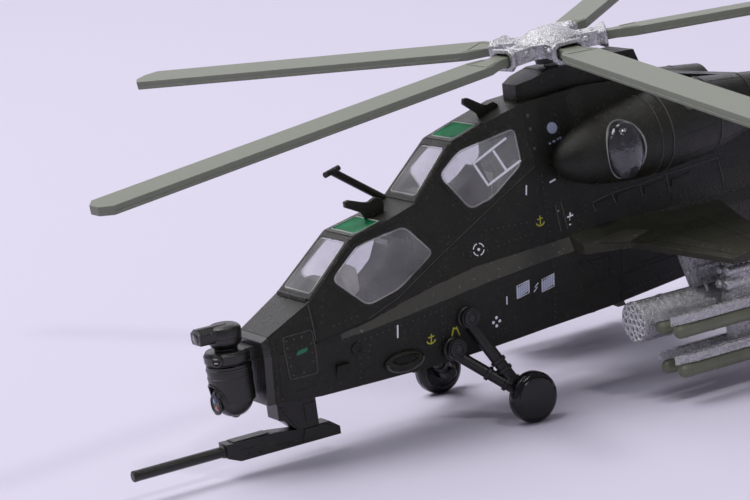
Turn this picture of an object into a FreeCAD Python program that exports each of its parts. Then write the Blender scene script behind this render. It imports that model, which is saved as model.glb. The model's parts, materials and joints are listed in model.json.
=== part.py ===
"""Tandem attack helicopter, 1:72 collector's model.

Millimetres, nose towards -Y, port side +X, up +Z. The origin is on the ground plane, on the
centre plane, under the middle of the rotor hub."""

import FreeCAD, Part
import math
import os

V = FreeCAD.Vector

# overall sizes
ROTOR_RADIUS = 90.0        # hub centre to blade tip
HUB_HEIGHT = 57.3          # ground to the hub's middle plane
MAST_TILT = 4.0            # the rotor shaft leans forward, degrees
TAIL_ROTOR_Y = 111.0       # tail rotor axis behind the main rotor axis
TAIL_ROTOR_RADIUS = 18.5
CUTTER_THICK = 0.9         # wire cutter blades
SCREW_RADIUS = 0.9         # screws that close the fuselage, in the belly
SCREW_Y = (-42.0, 8.0)
WALL = 0.8                 # cast shells
RUN = 0.06                 # radial clearance of a turning fit
GAP = 0.30                 # clearance between pieces that move past each other

# main rotor
BLADES = 5
FIRST_BLADE = -65.2        # angle of blade 1 from the nose towards port, degrees
BLADE_CHORD = 6.4
BLADE_THICK = 1.5
BLADE_DROOP = 1.1          # degrees below the hub plane
BLADE_PITCH = 3.5          # leading edge up, degrees; the rotor turns clockwise seen from above
NECK_START = 7.4           # radius where a blade leaves its fork
CHORD_START = 14.5         # radius where the full chord begins
NECK_WIDTH = 3.4
HUB_RADIUS = 5.0
HUB_THICK = 2.4
DOME_RADIUS = 5.2
DOME_HEIGHT = 2.1
SHAFT_RADIUS = 1.2
COLLAR_RADIUS = 2.4

# undercarriage
WHEEL_RADIUS = 4.2
WHEEL_WIDTH = 3.0
AXLE_RADIUS = 0.7
HALF_TRACK = 15.3          # centre plane to the middle of a main tyre
WHEEL_Y = -20.4
TAIL_WHEEL_RADIUS = 2.6
TAIL_WHEEL_WIDTH = 1.8
TAIL_WHEEL_Y = TAIL_ROTOR_Y - 10.0

# stub wings and stores
WING_TIP_X = 30.0
INNER_PYLON_X = 20.0
POD_RADIUS = 3.4
POD_LENGTH = 25.0
POD_FRONT_Y = -2.4
POD_Z = 13.0
MISSILE_RADIUS = 1.15
MISSILE_LENGTH = 25.0
MISSILE_SPREAD = 2.4       # rack centre to a missile column
MISSILE_ROWS = (12.2, 5.7)
MISSILE_FRONT_Y = -1.0
STORE_GAP = 0.02           # rocket pod to the nearest missile
POD_TO_MISSILE = math.sqrt((POD_RADIUS + MISSILE_RADIUS + STORE_GAP) ** 2 - (POD_Z - MISSILE_ROWS[0]) ** 2)
OUTER_PYLON_X = INNER_PYLON_X + POD_TO_MISSILE + MISSILE_SPREAD
RAIL_OFFSET = 2.05         # missile axis to launch rail axis

# chin gun and sensor turret
GUN_PIVOT_Y = -56.2
GUN_Z = 4.7
BARREL_RADIUS = 0.9
BARREL_TIP_Y = -85.2
NOSE_Y = -62.2             # flat front of the nose
BALL_Z = 13.2
BALL_RADIUS = 3.3
CUP_RADIUS = BALL_RADIUS + 0.3
ARCH_RADIUS = BALL_RADIUS - 0.7    # opening in the cup, where the ball looks out
BAND_RADIUS = CUP_RADIUS - 0.2     # round end of the bracket
SENSOR_Y = NOSE_Y - GAP - CUP_RADIUS

# engines
NACELLE_X = 9.4
NACELLE_Z = 40.9
NACELLE_TILT = 5.0         # the front end points down, degrees
NACELLE_RADIUS = 6.8

# fuselage stations: y, belly edge, ledge outer edge, ledge inner edge, waist, roof edge (x, z each)
STATIONS = [
    (NOSE_Y, (3.9, 11.1), (5.2, 19.0), (5.2, 19.2), (5.1, 20.4), (4.6, 21.6)),
    (-53.2, (5.5, 10.8), (6.6, 19.0), (6.5, 19.7), (6.4, 22.0), (5.7, 26.4)),
    (-43.6, (5.8, 10.8), (7.3, 19.8), (6.9, 21.2), (6.8, 23.5), (5.0, 34.7)),
    (-37.0, (5.9, 10.8), (7.7, 20.6), (7.0, 22.9), (6.9, 25.5), (5.1, 36.1)),
    (-31.8, (6.0, 10.8), (7.9, 21.3), (7.1, 24.1), (7.0, 27.0), (5.3, 37.7)),
    (-23.2, (6.1, 11.2), (8.2, 22.5), (7.2, 25.6), (7.1, 31.5), (4.6, 45.9)),
    (-16.6, (6.1, 11.6), (8.3, 23.2), (7.3, 26.0), (7.1, 34.5), (4.7, 47.9)),
    (-10.0, (6.1, 12.1), (8.4, 23.9), (7.4, 26.4), (7.1, 38.0), (5.2, 49.6)),
    (2.0, (6.0, 12.8), (8.4, 24.4), (7.4, 27.0), (7.2, 41.0), (5.4, 50.4)),
    (18.0, (5.6, 14.4), (8.0, 24.9), (7.2, 27.4), (7.0, 41.0), (5.2, 49.5)),
    (39.0, (3.6, 18.6), (5.6, 24.6), (5.4, 26.6), (5.2, 37.5), (3.8, 45.0)),
    (58.0, (1.9, 21.6), (3.4, 24.6), (3.4, 26.0), (3.3, 33.0), (2.2, 38.4)),
]
BOOM_END = (TAIL_ROTOR_Y - 7.0, (1.0, 24.6), (1.9, 26.0), (1.9, 26.8), (1.9, 29.6), (1.2, 32.4))

# canopy outline on the side, from the front lower corner round to the rear
CANOPY_LOWER = [(-53.2, 19.7), (-43.8, 21.3), (-38.0, 23.4), (-29.4, 28.4), (-19.7, 33.7), (-9.6, 39.1)]
FRONT_SIDE_WINDOW = [(-49.2, 28.9), (-43.3, 33.6), (-34.3, 35.0), (-29.8, 29.4), (-37.4, 24.7), (-43.6, 23.2)]
REAR_SIDE_WINDOW = [(-27.0, 41.3), (-22.6, 44.6), (-11.4, 46.6), (-11.4, 40.0), (-17.9, 35.6), (-22.6, 34.4)]


def box(x0, x1, y0, y1, z0, z1):
    return Part.makeBox(x1 - x0, y1 - y0, z1 - z0, V(x0, y0, z0))


def rod(start, end, radius):
    """A round bar from one point to another."""
    start, end = V(*start), V(*end)
    return Part.makeCylinder(radius, (end - start).Length, start, end - start)


def cone(start, end, radius_start, radius_end):
    start, end = V(*start), V(*end)
    return Part.makeCone(radius_start, radius_end, (end - start).Length, start, end - start)


def face(points):
    return Part.Face(Part.makePolygon([V(*p) for p in points] + [V(*points[0])]))


def side_prism(outline, x0, x1):
    """An outline of (y, z) points, extruded across the model."""
    return face([(x0, y, z) for y, z in outline]).extrude(V(x1 - x0, 0, 0))


def plan_prism(outline, z0, z1):
    """An outline of (x, y) points, extruded upwards."""
    return face([(x, y, z0) for x, y in outline]).extrude(V(0, 0, z1 - z0))


def loft(sections):
    wires = [Part.makePolygon([V(*p) for p in s] + [V(*s[0])]) for s in sections]
    return Part.makeLoft(wires, True, True)


def mirrored(shape):
    return shape.mirror(V(0, 0, 0), V(1, 0, 0))


def largest(shape):
    """The main solid that a cut leaves."""
    return max(shape.Solids, key=lambda solid: solid.Volume)


def clean(shape):
    """Merge split faces where that leaves a valid solid."""
    refined = shape.removeSplitter()
    return refined if refined.isValid() else shape


def save(node, *shapes):
    solids = [s for shape in shapes for s in clean(shape).Solids]
    for solid in solids:
        if not solid.isValid() or solid.Volume <= 0:
            raise ValueError(f"{node} has a bad solid")
    whole = Part.makeCompound(solids) if len(solids) > 1 else solids[0]
    whole.exportStep(f"parts/{node}.step")


def ring(points, y):
    """A closed section at station y from the points of its port half, lowest first."""
    return [(x, y, z) for x, z in points] + [(-x, y, z) for x, z in reversed(points)]


def inset(points, wall):
    """The same half section, smaller by a wall at the side and at the top."""
    top = max(z for _, z in points)
    return [(x - wall, z - wall if z == top else z) for x, z in points]


def hull_lower():
    rings = [ring([belly, outer, inner], y) for y, belly, outer, inner, _, _ in STATIONS]
    return loft(rings)


def hull_upper(wall=0.0):
    rings = [ring(inset([inner, waist, roof], wall), y) for y, _, _, inner, waist, roof in STATIONS]
    return loft(rings)


def canopy_region(margin=0.0):
    """The space above the canopy's lower edge and behind its front edge."""
    front = CANOPY_LOWER[0][0] + margin
    rear = CANOPY_LOWER[-1][0] - margin
    lower = [(y, z + margin) for y, z in CANOPY_LOWER]
    lower[0] = (front, lower[0][1])
    lower[-1] = (rear, lower[-1][1])
    return side_prism([(front, HUB_HEIGHT)] + lower + [(rear, HUB_HEIGHT)], -20, 20)


def roof_point(y):
    """Roof edge (x, z) at any station, between the listed ones."""
    for (y0, *_, r0), (y1, *_, r1) in zip(STATIONS, STATIONS[1:]):
        if y0 <= y <= y1:
            t = (y - y0) / (y1 - y0)
            return r0[0] + t * (r1[0] - r0[0]), r0[1] + t * (r1[1] - r0[1])
    raise ValueError("station outside the hull")


def roof_window(y0, y1, margin):
    """The cutting prism of a pane in the roof line between two stations."""
    (x0, z0), (x1, z1) = roof_point(y0), roof_point(y1)
    length = math.hypot(y1 - y0, z1 - z0)
    dy, dz = (y1 - y0) / length, (z1 - z0) / length
    half0, half1 = x0 - margin, x1 - margin
    start = V(0, y0 + dy * margin, z0 + dz * margin)
    end = V(0, y1 - dy * margin, z1 - dz * margin)
    normal = V(0, -dz, dy)
    low = start - normal * 2
    high = end - normal * 2
    quad = [low + V(half0, 0, 0), high + V(half1, 0, 0), high - V(half1, 0, 0), low - V(half0, 0, 0)]
    return face([tuple(p) for p in quad]).extrude(normal * 4)


def build_fuselage():
    lower = hull_lower()
    upper = hull_upper()
    shell = upper.cut(hull_upper(WALL))
    canopy = shell.common(canopy_region())
    deck = upper.cut(canopy_region())
    nose_plane = box(-20, 20, -70, -60.9, 0, 60)
    nose = lower.fuse(upper).common(nose_plane)
    lower = lower.cut(nose_plane)
    deck = deck.cut(nose_plane)
    cabin = box(-4.6, 4.6, -52.0, -11.5, 20.2, 60)
    lower = lower.cut(cabin)
    deck = deck.cut(cabin)

    windows = {
        "front_windscreen": roof_window(-53.2, -43.6, 0.7),
        "front_roof_pane": roof_window(-43.6, -37.0, 0.55),
        "rear_windscreen": roof_window(-31.8, -23.2, 0.7),
        "rear_roof_pane": roof_window(-23.2, -16.6, 0.55),
        "front_side_windows": side_prism(FRONT_SIDE_WINDOW, 3, 12).fuse(
            side_prism(FRONT_SIDE_WINDOW, -12, -3)),
        "rear_side_windows": side_prism(REAR_SIDE_WINDOW, 3, 12).fuse(side_prism(REAR_SIDE_WINDOW, -12, -3)),
    }
    for node, prism in windows.items():
        save(node, canopy.common(prism))
        canopy = canopy.cut(prism)
    save("canopy_frame", canopy)
    return lower, deck, nose


def build_cockpit():
    """Two seats in a stepped tub, with an instrument panel in front of each."""
    tub = box(-4.4, 4.4, -51.6, -12.0, 20.4, 21.2)
    step = box(-4.4, 4.4, -33.0, -12.0, 21.2, 28.0)
    save("cockpit_tub", tub.fuse(step))
    seats = []
    for y, z in ((-37.6, 21.2), (-17.6, 28.0)):
        cushion = box(-2.0, 2.0, y - 3.4, y + 1.2, z, z + 1.8)
        back = side_prism([(y + 0.2, z + 1.8), (y + 1.2, z), (y + 3.0, z + 11.0), (y + 1.6, z + 11.0)],
                          -1.9, 1.9)
        seats.append(cushion.fuse(back))
    save("seats", *seats)
    panels = []
    for y, z, top in ((-47.6, 21.2, 28.4), (-27.2, 28.0, 38.6)):
        panels.append(side_prism([(y - 1.4, z), (y + 1.2, z), (y + 0.4, top), (y - 1.6, top)], -3.2, 3.2))
    save("instrument_panels", *panels)


def build_mast():
    """The fairing that the rotor shaft comes out of, in front of a box-shaped cooler housing."""
    top = HUB_HEIGHT - 3.3
    profile = [(-8.6, 49.0), (-8.4, top - 1.7), (-2.5, top), (4.0, top), (5.0, top + 0.6), (14.4, top + 0.2),
               (15.6, top - 3.2), (16.2, 49.0)]
    fairing = side_prism(profile, -3.6, 3.6)
    plan = plan_prism([(-1.8, -9), (1.8, -9), (3.6, -6.0), (3.6, 18), (-3.6, 18), (-3.6, -6.0)], 48, top + 6)
    return fairing.common(plan).cut(hull_upper())


def mast_axis():
    tilt = math.radians(MAST_TILT)
    return V(0, -math.sin(tilt), math.cos(tilt))


def on_mast(shape):
    """Move a shape made about +Z with the hub plane at z = 0 to the tilted shaft."""
    shape = shape.copy()
    shape.rotate(V(0, 0, 0), V(1, 0, 0), MAST_TILT)
    shape.translate(V(0, 0, HUB_HEIGHT))
    return shape


def build_main_rotor():
    shaft_top = 1.2
    shaft_bottom = -12.0
    shaft = Part.makeCylinder(SHAFT_RADIUS, shaft_top - shaft_bottom, V(0, 0, shaft_bottom))
    collar = Part.makeCylinder(COLLAR_RADIUS, 1.4, V(0, 0, -HUB_THICK / 2 - 1.4))
    save("rotor_shaft", on_mast(shaft))

    hub = Part.makeCylinder(HUB_RADIUS, HUB_THICK, V(0, 0, -HUB_THICK / 2))
    hub = hub.fuse(collar)
    fork_half = NECK_WIDTH / 2 + 0.5
    for k in range(BLADES):
        arm = box(2.0, NECK_START + 1.4, -fork_half, fork_half, -HUB_THICK / 2, HUB_THICK / 2)
        slot = box(NECK_START, NECK_START + 3, -NECK_WIDTH / 2, NECK_WIDTH / 2, -5, 5)
        hub = hub.fuse(turned(arm.cut(slot), k))
    for k in range(BLADES):
        hub = hub.cut(turned(blade(), k))
    hub = hub.cut(Part.makeCylinder(SHAFT_RADIUS, 20, V(0, 0, -10)))
    save("rotor_hub", on_mast(hub))

    sphere_radius = (DOME_RADIUS ** 2 + DOME_HEIGHT ** 2) / (2 * DOME_HEIGHT)
    base = HUB_THICK / 2
    dome = Part.makeSphere(sphere_radius, V(0, 0, base + DOME_HEIGHT - sphere_radius))
    dome = dome.common(box(-9, 9, -9, 9, base, base + 9))
    dome = dome.cut(Part.makeCylinder(SHAFT_RADIUS, shaft_top, V(0, 0, 0)))
    save("hub_dome", on_mast(dome))

    for k in range(BLADES):
        save(f"rotor_blade_{k + 1}", on_mast(turned(blade(), k)))


def turned(shape, k):
    """Turn a piece that points along +X to the place of blade k."""
    angle = FIRST_BLADE - 90.0 + k * 360.0 / BLADES
    shape = shape.copy()
    shape.rotate(V(0, 0, 0), V(0, 0, 1), angle)
    return shape


def blade():
    """One blade along +X: a square neck, then the full chord, with the tip corners cut."""
    half = BLADE_CHORD / 2
    neck = NECK_WIDTH / 2
    tip = ROTOR_RADIUS
    outline = [(NECK_START, -neck), (CHORD_START - 3.0, -neck), (CHORD_START, -half), (tip - 1.6, -half),
               (tip, -half + 2.0), (tip, half - 2.0), (tip - 1.6, half), (CHORD_START, half),
               (CHORD_START - 3.0, neck), (NECK_START, neck)]
    body = plan_prism(outline, -BLADE_THICK / 2, BLADE_THICK / 2)
    body.rotate(V(0, 0, 0), V(1, 0, 0), -BLADE_PITCH)
    body.rotate(V(NECK_START, 0, 0), V(0, 1, 0), BLADE_DROOP)
    return body


def nacelle():
    """Port engine housing: a bullet nose and a tapered rear, cut flat where it meets the hull."""
    nose_y, ring_y, rear_y = -7.4, 12.0, 36.0
    steps = 6
    profile = [V(0, nose_y, 0)]
    for i in range(1, steps + 1):
        angle = math.pi / 2 * i / steps
        profile.append(V(NACELLE_RADIUS * math.sin(angle), ring_y - (ring_y - nose_y) * math.cos(angle), 0))
    curve = Part.BSplineCurve()
    curve.interpolate(profile)
    edges = [curve.toShape(),
             Part.makeLine(profile[-1], V(NACELLE_RADIUS - 0.2, 22, 0)),
             Part.makeLine(V(NACELLE_RADIUS - 0.2, 22, 0), V(3.9, rear_y, 0)),
             Part.makeLine(V(3.9, rear_y, 0), V(0, rear_y, 0)),
             Part.makeLine(V(0, rear_y, 0), V(0, nose_y, 0))]
    body = Part.Face(Part.Wire(edges)).revolve(V(0, 0, 0), V(0, 1, 0), 360)
    body = Part.Solid(body.Shells[0]) if not body.Solids else body.Solids[0]
    body.translate(V(NACELLE_X, 0, NACELLE_Z))
    body.rotate(V(NACELLE_X, ring_y, NACELLE_Z), V(1, 0, 0), NACELLE_TILT)
    return body


def intake():
    """The bulged oval grille on the outside of an engine housing."""
    sphere = Part.makeSphere(1.0)
    stretch = FreeCAD.Matrix()
    stretch.scale(2.4, 3.4, 4.8)
    shape = sphere.transformGeometry(stretch)
    shape.translate(V(NACELLE_X + NACELLE_RADIUS - 1.6, 3.2, NACELLE_Z - 0.8))
    return shape


def exhaust():
    start = V(NACELLE_X, 33.0, NACELLE_Z + 0.6)
    end = V(NACELLE_X + 3.6, 40.0, NACELLE_Z - 0.6)
    mouth = start + (end - start) * 0.5
    beyond = end + (end - start) * 0.1
    pipe = rod(tuple(start), tuple(end), 2.9)
    bore = rod(tuple(mouth), tuple(beyond), 2.2)
    return pipe.cut(bore)


def wing():
    """Port stub wing: a strake beside the hull, then the swept and drooped panel."""
    def section(x, front, low, top, crest_y, crest, rear, rear_z):
        return [(x, front, low), (x, front, top), (x, crest_y, crest),
                (x, rear, rear_z + 0.3), (x, rear, rear_z - 0.3),
                (x, crest_y, low - 0.1)]
    return loft([section(5.5, -5.4, 23.7, 27.8, 4.0, 28.4, 26.0, 26.2),
                 section(10.0, -4.0, 23.6, 25.3, 4.0, 26.2, 25.6, 25.0),
                 section(12.0, 3.8, 23.2, 24.4, 8.0, 25.5, 25.2, 24.4),
                 section(WING_TIP_X, 11.4, 20.9, 21.8, 14.0, 22.4, 21.6, 21.7)])


def inner_pylon():
    top_z = 23.0
    return side_prism([(7.5, top_z), (17.5, top_z), (15.5, POD_Z + POD_RADIUS - 0.4),
                       (9.5, POD_Z + POD_RADIUS - 0.4)], INNER_PYLON_X - 0.8, INNER_PYLON_X + 0.8)


def pod():
    """Rocket pod with a ring of tube mouths round a middle one."""
    front = POD_FRONT_Y
    x, z = INNER_PYLON_X, POD_Z
    body = rod((x, front, z), (x, front + POD_LENGTH - 3, z), POD_RADIUS)
    tail = cone((x, front + POD_LENGTH - 3, z), (x, front + POD_LENGTH, z), POD_RADIUS, POD_RADIUS - 1.2)
    body = body.fuse(tail)
    tube = 0.52
    places = [(0.0, 0.0)]
    for count, radius in ((6, 1.25), (12, 2.5)):
        places += [(radius * math.cos(2 * math.pi * i / count), radius * math.sin(2 * math.pi * i / count))
                   for i in range(count)]
    for dx, dz in places:
        body = body.cut(rod((x + dx, front - 1, z + dz), (x + dx, front + 1.5, z + dz), tube))
    return body


def outer_pylon():
    """Pylon, rack beam and cross arms that carry four launch rails."""
    x = OUTER_PYLON_X
    low, high = MISSILE_ROWS[1] + RAIL_OFFSET, MISSILE_ROWS[0] + RAIL_OFFSET
    pylon = side_prism([(12.0, 22.4), (21.0, 22.4), (19.0, high + 1.6), (12.0, high + 1.6)], x - 0.8, x + 0.8)
    beam = box(x - 0.7, x + 0.7, 11.0, 18.0, low - 0.7, high + 1.6)
    arms = []
    for z in (low, high):
        arms.append(box(x - MISSILE_SPREAD, x + MISSILE_SPREAD, 11.5, 17.5, z - 0.6, z + 0.6))
    return pylon.fuse(beam).fuse(arms[0]).fuse(arms[1])


def rails_and_missiles():
    rails, missiles = [], []
    for z in MISSILE_ROWS:
        for side in (-1, 1):
            x = OUTER_PYLON_X + side * MISSILE_SPREAD
            front = MISSILE_FRONT_Y
            rz = z + RAIL_OFFSET
            rail = plan_prism([(x - 0.7, front + 3), (x, front - 0.6), (x + 0.7, front + 3),
                               (x + 0.7, front + 24),
                               (x - 0.7, front + 24)], rz - 0.85, rz + 0.6)
            rails.append(rail)
            body = rod((x, front + 1.1, z), (x, front + MISSILE_LENGTH, z), MISSILE_RADIUS)
            nose = Part.makeSphere(MISSILE_RADIUS, V(x, front + 1.1, z))
            missiles.append(body.fuse(nose))
    return rails, missiles


def gear_leg():
    """Port main leg: two struts from the hull that meet beside the wheel, a brace, and the stub axle."""
    knee = (HALF_TRACK - WHEEL_WIDTH / 2 - 1.5, WHEEL_Y, WHEEL_RADIUS)
    upper = (6.6, -26.2, 17.8)
    lower = (5.6, -29.2, 12.6)
    leg = rod(upper, knee, 1.05).fuse(rod(lower, knee, 0.95))
    leg = leg.fuse(rod((6.6, upper[1], upper[2]), (8.8, upper[1], upper[2]), 1.6))
    leg = leg.fuse(rod((5.6, lower[1], lower[2] + 0.6), (8.4, lower[1], lower[2] + 0.6), 1.7))
    a = tuple(u + 0.68 * (k - u) for u, k in zip(upper, knee))
    b = tuple(u + 0.60 * (k - u) for u, k in zip(lower, knee))
    leg = leg.fuse(rod(a, b, 0.55))
    leg = leg.fuse(Part.makeSphere(1.5, V(*knee)))
    inner_face = HALF_TRACK - WHEEL_WIDTH / 2
    leg = leg.fuse(rod(knee, (inner_face - 0.2, WHEEL_Y, WHEEL_RADIUS), 1.2))
    return leg.fuse(rod(knee, (HALF_TRACK + 0.6, WHEEL_Y, WHEEL_RADIUS), AXLE_RADIUS))


def wheel():
    """Port tyre and hub in one moulding, with a blind bore for the axle."""
    x0 = HALF_TRACK - WHEEL_WIDTH / 2
    r = WHEEL_RADIUS
    points = [(0, 0), (0, r - 1.0), (0.5, r - 0.25), (0.9, r), (WHEEL_WIDTH - 0.9, r),
              (WHEEL_WIDTH - 0.4, r - 0.3),
              (WHEEL_WIDTH, r - 1.2), (WHEEL_WIDTH, 0)]
    disc = face([(x0 + x, y, 0) for x, y in points]).revolve(V(0, 0, 0), V(1, 0, 0), 360)
    disc.translate(V(0, WHEEL_Y, WHEEL_RADIUS))
    bore = rod((x0 - 1, WHEEL_Y, WHEEL_RADIUS), (HALF_TRACK + 0.8, WHEEL_Y, WHEEL_RADIUS), AXLE_RADIUS + RUN)
    return disc.cut(bore)


def build_tail(boom):
    fin_x = 0.9
    y = TAIL_ROTOR_Y
    fin = side_prism([(y - 16.0, 30.0), (y - 6.0, 53.0), (y + 1.5, 53.0), (y, 30.0),
                      (y - 7.0, 22.0), (y - 13.0, 22.5)], -fin_x, fin_x)
    fin = fin.cut(boom)
    rotor_z = 43.5
    boss_x = 2.2
    axis_y = TAIL_ROTOR_Y - 2.0
    boss = rod((-fin_x, axis_y, rotor_z), (-boss_x, axis_y, rotor_z), 1.6)
    fin = fin.fuse(boss)
    save("tail_fin", fin)
    pin = rod((-boss_x, axis_y, rotor_z), (-boss_x - 2.6, axis_y, rotor_z), 0.6)
    save("tail_rotor_pin", pin)
    hub = rod((-boss_x - GAP, axis_y, rotor_z), (-boss_x - 2.4, axis_y, rotor_z), 1.7)
    bore = rod((0, axis_y, rotor_z), (-9, axis_y, rotor_z), 0.6 + RUN)
    for pair, angle in enumerate((35.0, 90.0)):
        x = -boss_x - GAP - 0.35 - 1.0 * pair
        bar = box(x - 0.3, x + 0.3, axis_y - 1.3, axis_y + 1.3, rotor_z - TAIL_ROTOR_RADIUS,
                  rotor_z + TAIL_ROTOR_RADIUS)
        bar.rotate(V(0, axis_y, rotor_z), V(1, 0, 0), angle)
        hub = hub.fuse(bar)
    save("tail_rotor", hub.cut(bore))

    root = (y - 23.0, y - 13.0)
    tip = (y - 20.0, y - 13.5)
    panel = loft([[(0.0, root[0], 29.0), (0.0, root[1], 29.0), (0.0, root[1], 28.2), (0.0, root[0], 28.2)],
                  [(19.0, tip[0], 28.8), (19.0, tip[1], 28.8), (19.0, tip[1], 28.4), (19.0, tip[0], 28.4)]])
    panel = panel.cut(boom).cut(fin)
    save("stabilizers", panel, mirrored(panel))
    return fin


def build_tail_gear(boom, fin):
    y, r, half = TAIL_WHEEL_Y, TAIL_WHEEL_RADIUS, TAIL_WHEEL_WIDTH / 2
    top = 26.0
    arm_y = y - 3.0
    leg = rod((0, arm_y, top), (0, arm_y, 8.0), 1.0)
    cross = box(-half - 1.1, half + 1.1, arm_y - 0.8, arm_y + 0.8, 6.8, 8.4)
    prongs = []
    for side in (-1, 1):
        x = side * (half + 0.7)
        prongs.append(side_prism([(arm_y - 0.8, 8.4), (arm_y + 0.8, 8.4),
                                  (y + 0.9, r - 0.6), (y - 0.9, r - 0.6)],
                                 x - 0.4, x + 0.4))
    leg = leg.fuse(cross).fuse(prongs[0]).fuse(prongs[1]).cut(boom).cut(fin)
    pin_hole = rod((-9, y, r), (9, y, r), 0.5)
    save("tail_leg", leg.cut(pin_hole))
    save("tail_axle", rod((-half - 1.1, y, r), (half + 1.1, y, r), 0.5))
    tyre = rod((-half, y, r), (half, y, r), r)
    save("tail_wheel", tyre.cut(rod((-9, y, r), (9, y, r), 0.5 + RUN)))


def build_gun():
    """Chin mount that turns on a pin in the belly, with the gun and its barrel."""
    belly = STATIONS[1][1][1]
    top = belly - GAP
    y = GUN_PIVOT_Y
    deck = GUN_Z + 0.7
    mount = side_prism([(y - 3.5, top), (y + 3.5, top), (y + 3.5, deck),
                        (y - 0.4, deck), (y - 2.6, GUN_Z + 2.7),
                        (y - 3.5, GUN_Z + 3.0)], -2.0, 2.0)
    pin = rod((0, GUN_PIVOT_Y, top), (0, GUN_PIVOT_Y, belly + 3.0), 1.0)
    save("gun_mount", mount.fuse(pin))
    front, rear, breech = y - 13.0, y + 7.4, y - 9.8
    body = side_prism([(front, GUN_Z + 1.3), (y - 4.2, GUN_Z + 1.2), (y - 0.4, deck), (y + 5.6, deck),
                       (rear, GUN_Z - 0.6), (rear, GUN_Z - 1.9),
                       (front + 2.2, GUN_Z - 1.9), (front, GUN_Z - 1.0)], -1.5, 1.5)
    save("gun_body", body.cut(rod((0, front - 0.8, GUN_Z), (0, breech, GUN_Z), BARREL_RADIUS)))
    barrel = rod((0, BARREL_TIP_Y, GUN_Z), (0, breech, GUN_Z), BARREL_RADIUS)
    muzzle = rod((0, BARREL_TIP_Y - 1, GUN_Z), (0, BARREL_TIP_Y + 1.5, GUN_Z), 0.45)
    save("gun_barrel", barrel.cut(muzzle))


def build_sensor(nose):
    """Bracket on the nose, a sensor head on top of it and a ball turret hanging under it."""
    y = SENSOR_Y
    arm_low, arm_high = 18.7, 20.9
    band = Part.makeCylinder(BAND_RADIUS, arm_high - arm_low, V(0, y, arm_low))
    bracket = box(-2.6, 2.6, y, NOSE_Y + 4.2, arm_low, arm_high).fuse(band)
    bracket = bracket.cut(nose).cut(Part.makeCylinder(1.0 + RUN, 9, V(0, y, arm_low - 1)))
    bracket = largest(bracket)
    save("sensor_bracket", bracket)
    neck = Part.makeCylinder(1.9, 1.5, V(0, y, arm_high))
    drum = Part.makeCylinder(2.8, 2.6, V(0, y, arm_high + 1.5))
    head = box(-1.6, 1.6, y - 5.0, y, arm_high + 1.9, arm_high + 4.1)
    save("upper_sensor", neck.fuse(drum).fuse(head))
    cup_top = arm_low - GAP / 2
    cup = Part.makeCylinder(CUP_RADIUS, cup_top - BALL_Z + 0.6, V(0, y, BALL_Z - 0.6))
    cup = cup.cut(Part.makeSphere(BALL_RADIUS, V(0, y, BALL_Z)))
    cup = cup.cut(rod((0, y - 9, BALL_Z), (0, y, BALL_Z), ARCH_RADIUS))
    cup = cup.cut(box(-ARCH_RADIUS, ARCH_RADIUS, y - 9, y, BALL_Z - 3, BALL_Z))
    pin = Part.makeCylinder(1.0, arm_high - cup_top - 0.2, V(0, y, cup_top))
    save("turret_cup", cup.fuse(pin))
    save("turret_ball", Part.makeSphere(BALL_RADIUS, V(0, y, BALL_Z)))


def belly_height(y):
    """Height of the flat belly at a station."""
    for (y0, (_, z0), *_), (y1, (_, z1), *_) in zip(STATIONS, STATIONS[1:]):
        if y0 <= y <= y1:
            return z0 + (y - y0) / (y1 - y0) * (z1 - z0)
    raise ValueError("station outside the hull")


def belly_screw(y):
    """A pan-head screw, recessed in the belly, with a straight slot."""
    seat = belly_height(y) + 1.2
    head = Part.makeCylinder(2 * SCREW_RADIUS, 0.7, V(0, y, seat - 0.7))
    slot = box(-0.25, 0.25, y - 3, y + 3, seat - 1, seat - 0.4)
    return head.cut(slot).fuse(Part.makeCylinder(SCREW_RADIUS, 4.0, V(0, y, seat)))


def screw_hole(y):
    seat = belly_height(y) + 1.2
    well = Part.makeCylinder(2 * SCREW_RADIUS + GAP, 3.0, V(0, y, seat - 3.0))
    return well.fuse(Part.makeCylinder(SCREW_RADIUS, 4.0, V(0, y, seat)))


def wire_cutter(y, z, lean):
    """A flat blade with a horn that points forward and a rounded heel, standing on the roof."""
    outline = [(-1.6, -1.0), (-2.1, 1.4), (-4.7, 3.5), (-4.5, 4.4), (-3.7, 4.4), (-1.2, 2.9), (-0.4, 2.6),
               (0.9, 2.9), (1.8, 2.3), (2.0, 1.4), (1.6, 0.2), (1.6, -1.0)]
    cutter = side_prism([(y + dy, z + dz) for dy, dz in outline], -CUTTER_THICK / 2, CUTTER_THICK / 2)
    cutter.rotate(V(0, y, z), V(1, 0, 0), lean)
    return cutter


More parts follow.
